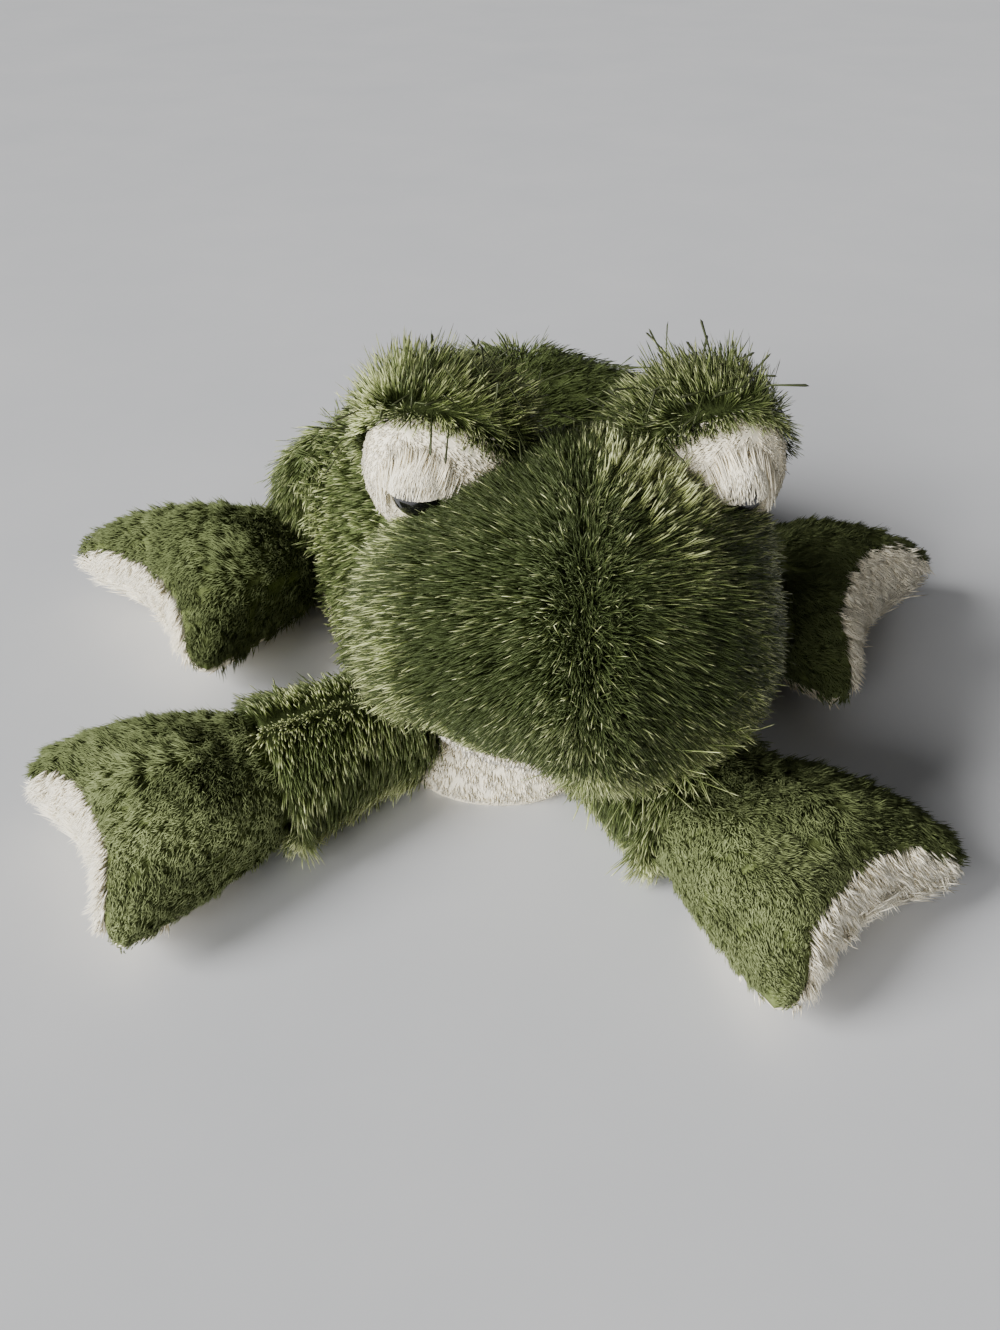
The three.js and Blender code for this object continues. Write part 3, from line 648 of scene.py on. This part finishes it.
# the pile of one side panel, above or below the split
def growZone(zone, name, side, panel):
    look, above, seed = headLook, headZones[zone]["above"], headZones[zone]["seed"] + side

    def bare(p):
        q = headIn(p)
        seen = offMound(q, side, 1) & ((q[:, 1] < 11) | (q[:, 2] > 6)) & (q[:, 2] > lipAt(q[:, 0]))
        return (seen & ((q[:, 2] - look["split"]) * above > 0)) * 1.0

    roots, ways = scatter(panel, headZones[zone], seed, bare)
    q = headIn(roots)
    x, z = q[:, 0], q[:, 2]
    seam = np.exp(-(x / look["seam"]) ** 2)
    high = smooth((z - 8) / 6)
    low = 1 - smooth((z - headForm["mouth"]) / 10)
    hang = low * smooth((x + 3) / 4)  # the fringe over the left half of the mouth
    rim = smooth((np.hypot(x / 24, np.minimum(z - 9, 0) / 17) - 0.54) / 0.34)  # the face towards its outline
    # the gleam spot and the fringe over the mouth take a painted highlight, the dusk spot a painted shade
    gleam = high * spotAt(q, crownSpots["gleam"]) + hang
    dusk = high * spotAt(q, crownSpots["dusk"])
    close = 1 - smooth((ballLevel(q, eyeCentre(side), mound["radius"]) - 1) / 0.7)  # beside the eye mound
    outer = smooth((np.abs(x) - 12) / 10)

    # combed out from the parting on the snout; the strands on the seam stand and lean either way
    lean = np.random.default_rng(seed + 10).normal(0, look["lean"], (len(q), 3)) * seam[:, None]
    comb = q - np.array(look["parting"]) * [-side, 1, 1] + lean
    long = mix(look["lipShort"], 1.0, smooth((z - lipAt(x)) / look["lipRun"])) if side < 0 else 1.0
    long = long * mix(1.0, look["outerLong"][name], outer) * (1 + look["hangLong"] * hang)
    long = long * (1 - look["eyeShort"][name] * close) * (1 - look["seamShort"] * seam)
    lift = look["seamLift"] * seam + look["eyeLift"][name] * close + look["outerLift"][name] * outer
    # painted light: some tufts take the pale tips of the rim and the gleam in full, the others hardly; the low strands
    # by the mouth are brightened as painted light and the dusk spot between the eyes darkened as painted shade
    share = look["pale"] + look["paleGleam"] * gleam * high
    flare = np.where(np.random.default_rng(seed + 15).random(len(q)) < share, 1.0, look["dull"])
    light = look["light"] + flare * np.maximum(look["rimPaintedLight"] * rim, look["gleamPaintedLight"] * gleam)
    light = light + look["lowPaintedLight"] * low - look["duskPaintedShade"] * dusk
    growPile(zone + "Pile" + name.title(), roots, ways, headWay(comb), headPile, seed + 20, shagPile,
             "head", long=long, lift=lift, light=light, clump=look["clump"] * np.maximum(rim, gleam))


# the tufts between the eyes, pale as a painted highlight, and the loose hairs on the snout, all on the left panel
def growTufts(panel):
    def lit(p):
        q = headIn(p)
        return spotAt(q, crownSpots["tufts"]) * (q[:, 2] > 8) * offMound(q, 1, 1.02)

    def snout(p):
        q = headIn(p)
        return ((q[:, 2] < 0) & (q[:, 1] < -14) & (np.abs(q[:, 0] - 6) < 6.5)) * 1.0

    roots, ways = scatter(panel, gleamPile, 42, lit)
    comb = headIn(roots) - [-2, -15, 10]
    growPile("gleamPile", roots, ways, headWay(comb), gleamPile, 43, paintedGleamPile, "head", light=0.32)
    roots, ways = scatter(panel, snoutHair, 46, snout)
    comb = fanned(headIn(roots), 1, 0, -9.0)
    growPile("snoutHair", roots, ways, headWay(comb), snoutHair, 49, shagPile, "head", light=0.35)


# the white pile above the mouth seam, on the right panel
def growLip(panel):
    def below(p):
        q = headIn(p)
        return ((q[:, 2] < lipAt(q[:, 0])) & (q[:, 1] < 0)) * 1.0

    roots, ways = scatter(panel, lipPile, 47, below)
    growPile("lipPile", roots, ways, chinComb, lipPile, 50, whitePile, "head")


def buildHead():
    low = -np.arcsin((-headForm["mouth"] / headForm["bottom"]) ** (1 / headForm["boxy"]))
    latitude = np.linspace(low, np.pi / 2 - 0.004, 46)[:, None]
    angle = np.linspace(-np.pi / 2, np.pi / 2, 54)[None]
    for name, side in sides:
        grid = headOut(headAt(angle if side > 0 else np.pi - angle, latitude))
        panel = clothPanel("headSkin" + name.title(), grid, headCentre, 0.8, shagCloth, "head",
                           f"head_{name}_panel")
        for zone in headZones:
            growZone(zone, name, side, panel)
        if side > 0:
            growTufts(panel)
        else:
            growLip(panel)
    latitude = np.linspace(-np.pi / 2 + 0.004, low, 26)[:, None]
    grid = headOut(headAt(np.linspace(0, 2 * np.pi, 90)[None], latitude))
    panel = clothPanel("chinSkin", grid, headCentre, 0.7, whiteCloth, "head", "chin_panel")
    roots, ways = scatter(panel, chinPile, 61, lambda p: (headIn(p)[:, 1] < 4) * 1.0)
    growPile("chinPile", roots, ways, chinComb, chinPile, 62, whitePile, "head")


# eye mounds: a ball about the lid's axis, white in front and green behind, sitting on the head
def moundAt(side, polar, around):
    axis = facing(side, mound["lidTilt"])
    right = unit(np.cross(axis, [0, 0, 1.0]))
    above = np.cross(right, axis)
    way = (axis * np.cos(polar)[..., None] + right * (np.sin(polar) * np.cos(around))[..., None]
           + above * (np.sin(polar) * np.sin(around))[..., None])
    return outOfHead(headOut(eyeCentre(side) + mound["radius"] * way), mound["headGap"])


eye = dict(radius=3.3, bulge=2.4, seat=0.35, stemRadius=1.1, stemLength=4.6, rim=0.45, under=0.15, boxy=0.9)
# strands keep out of a ball in the eye's dome, flattened along the gaze, and end above an edge across the eye
eyeCover = dict(rise=0.2, radius=3.6, flat=0.3, half=3.7, edge=dict(left=-0.5, right=0.2))
eyeWhitePile = dict(count=1100, perTuft=4, length=1.3, uneven=0.35, width=0.15, spread=0.7, gather=0.2, shake=0.08,
                    stray=0.06, stand=0.03, tipStand=0.01, sag=0.05, patch=7, vary=0.1, strand=softBlade)
eyeWhiteLook = dict(crown=(5.0, -6.0, 6.0), drop=-2.0, underHalf=4, underShort=0.6)
eyeFringe = dict(count=300, perTuft=4, length=5.4, uneven=0.25, width=0.16, spread=0.4, gather=0.3, shake=0.06,
                 stray=0.05, stand=0.06, tipStand=0.0, sag=0.25, patch=7, vary=0.1, strand=bentStrand)
lidPile = dict(count=4200, perTuft=3, length=9.4, uneven=0.5, width=0.13, spread=0.6, gather=0.25, shake=0.13,
               stray=0.1, stand=0.24, tipStand=0.14, sag=0.0, patch=9, vary=0.16, strand=bluntBlade)
# where the hair of each lid parts, how far it stands there and on the outer side, and how short it is at the front
lidLook = dict(crown=dict(left=(1.5, -9.0, 2.0), right=(-6.0, -8.0, 3.0)), crownLift=0.2, crownSize=3.5,
               flare=dict(left=0.1, right=0.55), frontShort=0.42, light=dict(left=0.1, right=0.2), frontDenser=1.6)
lidHair = dict(count=150, perTuft=1, length=11.5, uneven=0.5, width=0.32, spread=0.1, gather=0, shake=0.35, stray=0.2,
               stand=0.8, tipStand=-0.2, sag=0.2, patch=9, vary=0.1, strand=clubHair)


# the eye: a profile turned about the gaze, from the end of its stem to the top of its dome
def buildDome(name, seat, gaze, across, around):
    t = np.radians(np.linspace(0, 89.5, 16))
    stem, under = eye["stemLength"], eye["under"]
    out = np.concatenate([[0.02, eye["stemRadius"], eye["stemRadius"], eye["radius"] - eye["rim"]],
                          eye["radius"] * np.cos(t) ** eye["boxy"]])
    high = np.concatenate([[-stem, -stem, under, under], eye["seat"] + eye["bulge"] * np.sin(t)])
    ring = across * np.cos(around)[..., None] + np.cross(across, gaze) * np.sin(around)[..., None]
    grid = seat + gaze * high[:, None, None] + ring * out[:, None, None]
    piece = putMesh(name + "EyeDome", grid.reshape(-1, 3), [gridFaces(*grid.shape[:2])], eyeBlack, "head")
    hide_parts(f"{name}_eye")


def buildEyeWhite(name, side, centre, seat, gaze, across, around):
    dome = seat + gaze * eyeCover["rise"]

    # strands over the eye lie on its dome and end above its lower edge
    def overEye(path):
        apart = path - dome
        far = np.sqrt(dot(apart, apart) + eyeCover["flat"] * dot(apart, gaze) ** 2)
        path = dome + apart * np.maximum(1, eyeCover["radius"] / np.maximum(far, 1e-6))
        near = (np.abs((path - seat) @ across) < eyeCover["half"]) & (path[:, :1, 2] > seat[2])
        path[..., 2] = np.where(near, np.maximum(path[..., 2], seat[2] + eyeCover["edge"][name]), path[..., 2])
        return path

    fromSeat = lambda p: np.linalg.norm(p - seat, axis=-1)
    bare = lambda p: ((headLevel(p) > 1.02) & (fromSeat(p) > eye["radius"] - 0.1)) * 1.0
    over = lambda p: bare(p) * (fromSeat(p) < 6) * (p[:, 2] > seat[2] + 0.6)
    grid = moundAt(side, np.linspace(0.004, np.pi / 2 - 0.02, 30)[:, None], around)
    panel = clothPanel(name + "EyeWhiteSkin", grid, centre, 0.7, whiteCloth, "head", f"{name}_eye_white")
    roots, ways = scatter(panel, eyeWhitePile, 71 + side, bare)
    crown = centre + headWay(np.array(eyeWhiteLook["crown"]) * [side, 1, 1])
    comb = roots - crown + [0, 0, eyeWhiteLook["drop"]]
    under = (np.abs((roots - seat) @ across) < eyeWhiteLook["underHalf"]) & (roots[:, 2] < seat[2])
    growPile(name + "EyeWhitePile", roots, ways, comb, eyeWhitePile, 81 + side, whitePile, "head",
             clear=overEye, long=np.where(under, eyeWhiteLook["underShort"], 1.0))
    roots, ways = scatter(panel, eyeFringe, 75 + side, over)
    comb = (roots - seat) * -0.35 * [1, 1, 0] + [0, 0, -3]
    growPile(name + "EyeFringe", roots, ways, comb, eyeFringe, 85 + side, whitePile, "head", clear=overEye)


def buildLid(name, side, centre, around):
    bare = lambda p: (headLevel(p) > 1.03) * np.where(headIn(p)[:, 1] < mound["back"], lidLook["frontDenser"], 1.0)
    few = lambda p: bare(p) * (1 - 0.8 * (side > 0) * smooth((p - centre)[:, 0] / 6))  # fewer outside on the left lid
    grid = moundAt(side, np.linspace(np.pi / 2 + 0.02, np.pi - 0.004, 30)[:, None], around)
    panel = clothPanel(name + "LidSkin", grid, centre, 0.8, shagCloth, "head", f"{name}_eyelid")
    roots, ways = scatter(panel, lidPile, 91 + side, bare)
    comb = roots - centre - headWay(lidLook["crown"][name])
    lift = lidLook["crownLift"] * np.exp(-(np.linalg.norm(comb, axis=-1) / lidLook["crownSize"]) ** 2)
    lift = lift + lidLook["flare"][name] * smooth(side * (roots - centre)[:, 0] / 8)
    # the front row is short and hangs ahead over the white
    ahead = headWay(facing(side, mound["lidTilt"]))
    behind = -(roots - centre) @ ahead
    comb = mix(6 * ahead, comb, smooth((behind - 0.4) / 2.2)[:, None])
    growPile(name + "LidPile", roots, ways, comb, lidPile, 101 + side, shagPile, "head",
             long=mix(lidLook["frontShort"], 1.0, smooth(behind / 6)), lift=lift, light=lidLook["light"][name])
    roots, ways = scatter(panel, lidHair, 111 + side, few)
    growPile(name + "LidHair", roots, ways, roots - centre, lidHair, 121 + side, strayHair, "head")


def buildEyes():
    around = np.linspace(0, 2 * np.pi, 60)[None]
    for name, side in sides:
        centre = headOut(eyeCentre(side))
        gaze = headWay(facing(side, mound["downward"]))
        seat = centre + gaze * (mound["radius"] - mound["seat"])
        across = unit(np.cross(gaze, [0, 0, 1.0]))
        buildDome(name, seat, gaze, across, around)
        buildEyeWhite(name, side, centre, seat, gaze, across, around)
        buildLid(name, side, centre, around)


# paws: light is the pile's shade, set lower on the feet as a painted shade; the front term brightens the front toe's
# side and darkens the other toe's side as painted light
hand = dict(rootWidth=10.2, rootRadius=5.6, length=27, halfSpan=17.5, notch=5.5, crown=8.2, toe=-1.5, height=7.5,
            pile=1.0, light=-0.17, frontPaintedLight=0.36, clump=0.0, frontShort=0.5)
foot = dict(rootWidth=8.5, rootRadius=6.4, length=31, halfSpan=22, notch=6.5, crown=10, toe=0.5, height=7.8,
            pile=0.65, light=-0.45, frontPaintedLight=0.0, clump=-0.25, frontShort=1.0)
pawEdge = dict(heel=0.12, rounding=3.5, blunt=1.3, rise=1.2, boxy=0.8)


# what the rings of a paw share: the way along, the level of the toes, the depth to the sole, the closing at the edge
def pawRings(paw, share):
    s = np.clip(share, 0, 1)
    depth = mix(paw["rootRadius"], paw["height"], np.minimum(1, 4 * s))
    closing = np.sqrt(np.maximum(1 - np.clip((s - 0.5) / 0.5, 0, 1) ** 2.5, 0))
    return s, paw["toe"] * smooth(s), depth, closing


# a paw: rings that widen from a round root to two toes, with a hollow edge between; turn 0 to 180 degrees is its top
def pawAt(paw, share, turn):
    s, middle, depth, closing = pawRings(paw, share)
    root = np.radians(90 * np.clip(-share / pawEdge["heel"], 0, 1))
    half = mix(paw["rootWidth"], paw["halfSpan"], s ** 0.7) * np.cos(root)
    crown = mix(paw["rootRadius"], paw["crown"], smooth(s / 0.45)) * np.cos(root)
    c, n = np.cos(turn), np.sin(turn)
    hollow = paw["notch"] * s ** 2 * (1 - c * c) + pawEdge["rounding"] * s ** 4 * c ** 8
    height = np.where(n > 0, crown - middle, depth * np.cos(root) + middle)
    rise = np.maximum(height * closing, pawEdge["blunt"] / 2 * np.cos(root))
    x = half * c
    y = paw["rootRadius"] * np.sin(root) - (s * paw["length"] - hollow)
    z = np.maximum(middle + rise * signedPower(n, pawEdge["boxy"]), -paw["height"])
    return joined(x, y, z)


# the turn at which a ring meets the sole's seam, which climbs from the heel to the toes
def seamTurn(paw, share):
    _, middle, depth, closing = pawRings(paw, share)
    climb = np.clip((share + pawEdge["heel"]) / (1 + pawEdge["heel"]), 0, 1)
    line = mix(pawEdge["rise"] - paw["height"], paw["toe"], climb)
    deep = np.clip((middle - line) / np.maximum((depth + middle) * closing, pawEdge["blunt"] / 2), 0, 0.94)
    return np.arcsin(deep ** (1 / pawEdge["boxy"]))


topPile = dict(count=1800, perTuft=17, length=3.4, uneven=0.3, width=0.16, spread=1.1, gather=0.5, shake=0.14,
               stray=0.08, stand=0.34, tipStand=0.1, sag=0.05, patch=8, vary=0.1, strand=softBlade)
solePile = dict(count=300, perTuft=5, length=2.6, uneven=0.4, width=0.24, spread=0.7, gather=0.4, shake=0.15,
                stray=0.1, stand=0.3, tipStand=0.15, sag=0.1, patch=9, vary=0.1, strand=softBlade)
edgePile = dict(count=480, perTuft=8, length=6.4, uneven=0.3, width=0.22, spread=0.9, gather=0.35, shake=0.12,
                stray=0.08, stand=0.3, tipStand=0.05, sag=0.08, patch=9, vary=0.1, strand=softBlade)
bandPile = dict(count=300, perTuft=12, length=3.4, uneven=0.3, width=0.2, spread=1.0, gather=0.35, shake=0.15,
                stray=0.1, stand=0.4, tipStand=0.15, sag=0.05, patch=9, vary=0.1, strand=softBlade)
# where the green toe tips start and the white of the hollow ends, for the front toe and the other
toes = dict(tip=(0.6, 0.74), tipRun=0.2, bare=0.9, hollow=(0.6, 0.76), hollowRun=0.3)


def buildPaw(paw, name, kind, yaw, place, seed, clear, band):
    title, body = name + kind.title(), f"{name}_{kind}"
    share = [np.linspace(-pawEdge["heel"], 0, 7)[:-1], np.linspace(0, 0.86, 30), np.linspace(0.86, 1, 12)[1:]]
    share = np.concatenate(share)[:, None]
    seam = seamTurn(paw, share)
    u = np.linspace(0, 1, 42)[None]
    middle = place + turned((0, -paw["length"] * 0.45, 0), yaw)
    area = (paw["halfSpan"] * paw["length"]) / (hand["halfSpan"] * hand["length"])
    local = lambda p: unplaced(p, yaw, place)
    towards = lambda p: -np.sign(yaw) * local(p)[:, 0] / paw["halfSpan"]  # 1 at the front toe, -1 at the other

    # how far a point of the top is behind the white band along the hollow edge
    def toEdge(p):
        q = local(p)
        across = np.clip(np.abs(q[:, 0]) / paw["halfSpan"], 0, 1)
        edge = paw["notch"] * (1 - across ** 2) + pawEdge["rounding"] * across ** 8 - paw["length"]
        return q[:, 1] - edge - band * smooth((0.95 - across) / 0.45)

    def offTips(p):
        front = towards(p)
        return 1 - toes["bare"] * smooth((np.abs(front) - np.where(front > 0, *toes["tip"])) / toes["tipRun"])

    def hollow(p):
        front = towards(p)
        ends = np.where(front > 0, *toes["hollow"])
        return smooth((ends - np.abs(front)) / toes["hollowRun"]) * (p[:, 2] > 0.5)

    onTop = lambda p: clear(p) * (p[:, 2] > 0.5) * (toEdge(p) > 0)
    onBand = lambda p: (toEdge(p) < 0) * offTips(p)
    onSole = lambda p: clear(p) * ((p[:, 2] > 0.5) & (local(p)[:, 1] < -paw["length"] * 0.6)) * offTips(p)

    grid = placed(pawAt(paw, share, mix(-seam, np.pi + seam, u)), yaw, place)
    panel = clothPanel(title + "TopSkin", grid, middle, 0.5, minkyCloth, body, body + "_top")
    roots, ways = scatter(panel, topPile, seed, onTop, paw["pile"])
    q = local(roots)
    swirl = waves(q, 16, seed)[:, None] * [1, 0, 0]
    comb = turned(fanned(q, 0.05, -1.0, -0.1) + swirl, yaw)
    front = towards(roots)
    long = mix(0.6, 1.0, smooth(toEdge(roots) / 5)) * mix(1.0, paw["frontShort"], smooth(front * 1.2))
    # the front toe's side is painted lighter and the other side darker, a painted light
    growPile(title + "TopPile", roots, ways, comb, topPile, seed + 1, minkyPile, body, long=long,
             light=paw["light"] + paw["frontPaintedLight"] * front, clump=paw["clump"])
    roots, ways = scatter(panel, bandPile, seed + 6, onBand, area)
    comb = turned((0, -1.0, -0.3), yaw)
    growPile(title + "BandPile", roots, ways, comb, bandPile, seed + 7, whitePile, body)

    grid = placed(pawAt(paw, share, mix(np.pi + seam, 2 * np.pi - seam, u)), yaw, place)
    panel = clothPanel(title + "SoleSkin", grid, middle, 0.5, whiteCloth, body, body + "_sole")
    roots, ways = scatter(panel, solePile, seed + 2, onSole, area)
    comb = turned(fanned(local(roots), 0.04, -1.0, 0.2), yaw)
    growPile(title + "SolePile", roots, ways, comb, solePile, seed + 3, whitePile, body)
    edge = [values[share[:, 0] > 0.9] for values in panel]
    roots, ways = scatter(edge, edgePile, seed + 4, hollow, area)
    comb = turned(fanned(local(roots), 0.03, -1.0, 0.25), yaw)
    ways = unit(ways + turned((0, -1.0, 0.6), yaw))
    long = mix(0.5, 1.0, smooth((0.95 - np.abs(towards(roots))) / 0.35))
    growPile(title + "EdgePile", roots, ways, comb, edgePile, seed + 5, whitePile, body, long=long)


# arms: a round shoulder, then a flattened sleeve that swells to the cuff, with a groove along its top seam
sleeve = dict(radius=7, cuffHalf=10.8, cuffHigh=7.2, length=19.5, setback=2.4, bulge=1.2, groove=1.0, grooveHalf=0.9,
              sweep=dict(left=46, right=57), handYaw=dict(left=44, right=53), headGap=0.4, band=1.7)
sleevePile = dict(count=4600, perTuft=4, length=6.2, uneven=0.4, width=0.19, spread=0.9, gather=0.12, shake=0.07,
                  stray=0.07, stand=0.08, tipStand=0.04, sag=0.2, patch=9, vary=0.1, strand=bluntBlade)
# the sleeve's hem, low on its front, gets painted light in pale tips
sleeveLook = dict(seamHalf=1.7, seamBare=0.5, seamShort=0.68, seamLift=0.6, seamLight=0.36, hemLift=0.16,
                  hemPaintedLight=0.5, hemClump=0.45, light=-0.04, pileEnd=-17.4, handStart=-18.5)


# the first 0.3 of the way is the round of the shoulder and the last 0.1 closes the cuff
def sleeveAt(step, turn):
    end = sleeve["length"] - sleeve["setback"]
    root = np.radians(90 * np.clip(1 - step / 0.3, 0, 1))
    share = np.clip((step - 0.3) / 0.6, 0, 1)
    closing = np.sqrt(np.maximum(1 - np.clip((step - 0.9) / 0.1, 0, 1) ** 2, 0))
    half = mix(sleeve["radius"], sleeve["cuffHalf"], smooth(share)) * np.cos(root) * closing
    high = mix(sleeve["radius"], sleeve["cuffHigh"], smooth(share)) * np.cos(root) * closing
    y = sleeve["radius"] * np.sin(root) - end * share - sleeve["bulge"] * (1 - closing)
    x = half * np.cos(turn)
    groove = np.where(np.sin(turn) > 0, sleeve["groove"] * np.exp(-(x / sleeve["grooveHalf"]) ** 2), 0)
    z = high * np.sin(turn) - groove * np.cos(root) * closing
    return joined(x, y, z)


def buildArms():
    step, turn = np.linspace(0.004, 0.999, 48)[:, None], np.linspace(-np.pi, np.pi, 60)[None]
    look, gap = sleeveLook, sleeve["headGap"]
    for name, side in sides:
        yaw, place = side * sleeve["sweep"][name], ballCentre(shoulder, side)
        grid = outOfHead(placed(sleeveAt(step, turn), yaw, place), gap)
        grid[..., 2] = np.maximum(grid[..., 2], 0.2)
        panel = closedForm(name + "SleeveSkin", grid, place + turned((0, -8.0, 0), yaw), shagCloth,
                           name + "_arm", name + "_sleeve")
        local = lambda p: unplaced(p, yaw, place)

        def bare(p):
            onSeam = (np.abs(local(p)[:, 0]) < look["seamBare"]) & (p[:, 2] > place[2])
            return ((headLevel(p, gap) > 1.04) & (p[:, 2] > 0.8) & (local(p)[:, 1] > look["pileEnd"]) & ~onSeam) * 1.0

        roots, ways = scatter(panel, sleevePile, 131 + side, bare)
        q = local(roots)
        comb = turned(fanned(np.sign(q), 1, -0.35, -0.5), yaw)
        seam = np.where(ways[:, 2] > 0, np.exp(-(q[:, 0] / look["seamHalf"]) ** 2), 0)
        # the hem, low on the front, where the pile's tips get painted light
        hem = smooth(-ways[:, 1] * 1.4) * smooth((8 - roots[:, 2]) / 4)  # low on the front
        growPile(name + "SleevePile", roots, ways, comb, sleevePile, 141 + side, sidePile, name + "_arm",
                 long=1 - look["seamShort"] * seam, lift=look["seamLift"] * seam + look["hemLift"] * hem,
                 light=look["light"] + look["hemPaintedLight"] * hem + look["seamLight"] * seam, clump=look["hemClump"] * hem)
        clear = lambda p: ((headLevel(p, gap) > 1.02) & (local(p)[:, 1] < look["handStart"])) * 1.0
        wrist = place + turned((0, -sleeve["length"], 0), yaw)
        buildPaw(hand, name, "hand", side * sleeve["handYaw"][name], wrist, 150 + 10 * side, clear, sleeve["band"])


legs = dict(reach=12.5, drop=5.5, sweep=dict(left=30, right=55), yaw=dict(left=62, right=47),
            band=dict(left=3.2, right=0.7), ankleBare=7.5, footGap=0.6)
thighPile = dict(count=2500, perTuft=3, length=6.6, uneven=0.45, width=0.2, spread=0.7, gather=0.3, shake=0.12,
                 stray=0.1, stand=0.22, tipStand=0.08, sag=0.2, patch=10, vary=0.15, strand=bluntBlade)


# legs: a round thigh, with the foot on its outer front
def buildLegs():
    polar, around = np.linspace(0.004, np.pi - 0.004, 40)[:, None], np.linspace(0, 2 * np.pi, 70)[None]
    ball = [np.sin(polar) * np.cos(around), np.sin(polar) * np.sin(around), np.cos(polar)]
    ball = joined(*ball)
    for name, side in sides:
        centre = ballCentre(hip, side)
        grid = centre + ball * hip["radius"]
        panel = closedForm(name + "ThighSkin", grid, centre, sideCloth, name + "_leg", name + "_thigh")
        sweep = np.radians(legs["sweep"][name])
        ankle = centre + np.array([side * np.sin(sweep), -np.cos(sweep), 0]) * legs["reach"] - [0, 0, legs["drop"]]
        outside = lambda p: (p[:, 0] * side > hip["x"] - 4) & (p[:, 2] > 0.8)
        bare = lambda p: (outside(p) & (ballLevel(p, ankle, legs["ankleBare"]) > 1)) * 1.0
        roots, ways = scatter(panel, thighPile, 171 + side, bare)
        comb = roots - centre - [0, 6, 12]
        growPile(name + "ThighPile", roots, ways, comb, thighPile, 181 + side, sidePile, name + "_leg", light=0.06)
        clear = lambda p: (ballLevel(p, centre, hip["radius"] + legs["footGap"]) > 1) * 1.0
        buildPaw(foot, name, "foot", side * legs["yaw"][name], ankle, 200 + 10 * side, clear, legs["band"][name])


# the inner pieces stay as the frame has them, each with the finish of its slot
def dressInside():
    looks = dict(fibrefill=fibre, bag_lining=lining, pellets=pellets, washer_plastic=washerPlastic)
    for part in frame["record"]["subparts"]:
        finish = looks.get(part["material_slot"])
        if finish:
            node = frame["nodes"][part["node"]]
            node.data.materials.clear()
            node.data.materials.append(finish)


# floor, light and camera

floorLook = dict(half=1.6, lines=9, near=(200, 201, 203), far=(207, 207, 208))
keyLight = dict(way=(-0.80, -0.28, 0.53), spread=28, power=5.15)
fillLight = dict(way=(-0.54, -0.81, 0.22), spread=38, power=4.3)
surround = dict(colour=(0.98, 0.985, 1.0, 1), strength=0.11)
shot = dict(place=(0.0080, -0.1578, 0.110), way=(-0.0487, 0.797, -0.602), film=36, focus=1150, tall=1330)


def sunLight(name, light):
    data = bpy.data.lights.new(name, "SUN")
    data.angle = np.radians(light["spread"])
    data.energy = light["power"]
    lamp = addObject(name, data)
    lamp.location = Vector(light["way"]) * 0.5
    lamp.rotation_euler = Vector(light["way"]).to_track_quat("Z", "Y").to_euler()


def buildStudio():
    lines = np.linspace(-floorLook["half"], floorLook["half"], floorLook["lines"])
    x, y = np.meshgrid(lines, lines)
    mesh = bpy.data.meshes.new("floor")
    mesh.from_pydata(np.stack([x, y, 0 * x], -1).reshape(-1, 3).tolist(), [], gridFaces(*x.shape).tolist())
    mesh.materials.append(mottledMaterial("paleFloor", dict(
        size=60, dark=floorLook["near"], light=floorLook["far"], bump=0.0, roughness=0.45)))
    floor = addObject("floor", mesh)
    sunLight("keyLight", keyLight)
    sunLight("fillLight", fillLight)
    world = bpy.data.worlds.new("surround")
    world.use_nodes = True
    world.node_tree.nodes["Background"].inputs["Color"].default_value = surround["colour"]
    world.node_tree.nodes["Background"].inputs["Strength"].default_value = surround["strength"]
    bpy.context.scene.world = world
    data = bpy.data.cameras.new("camera")
    data.sensor_fit = "VERTICAL"
    data.sensor_height = shot["film"]
    data.lens = shot["film"] * shot["focus"] / shot["tall"]  # the focus and the picture's height are in its pixels
    data.clip_start = 0.005
    camera = addObject("camera", data)
    camera.location = shot["place"]
    camera.rotation_euler = Vector(shot["way"]).to_track_quat("-Z", "Y").to_euler()
    bpy.context.scene.camera = camera


buildStudio()
print("studio made")
buildBody()
buildHead()
buildEyes()
buildArms()
buildLegs()
dressInside()
print("pieces made")
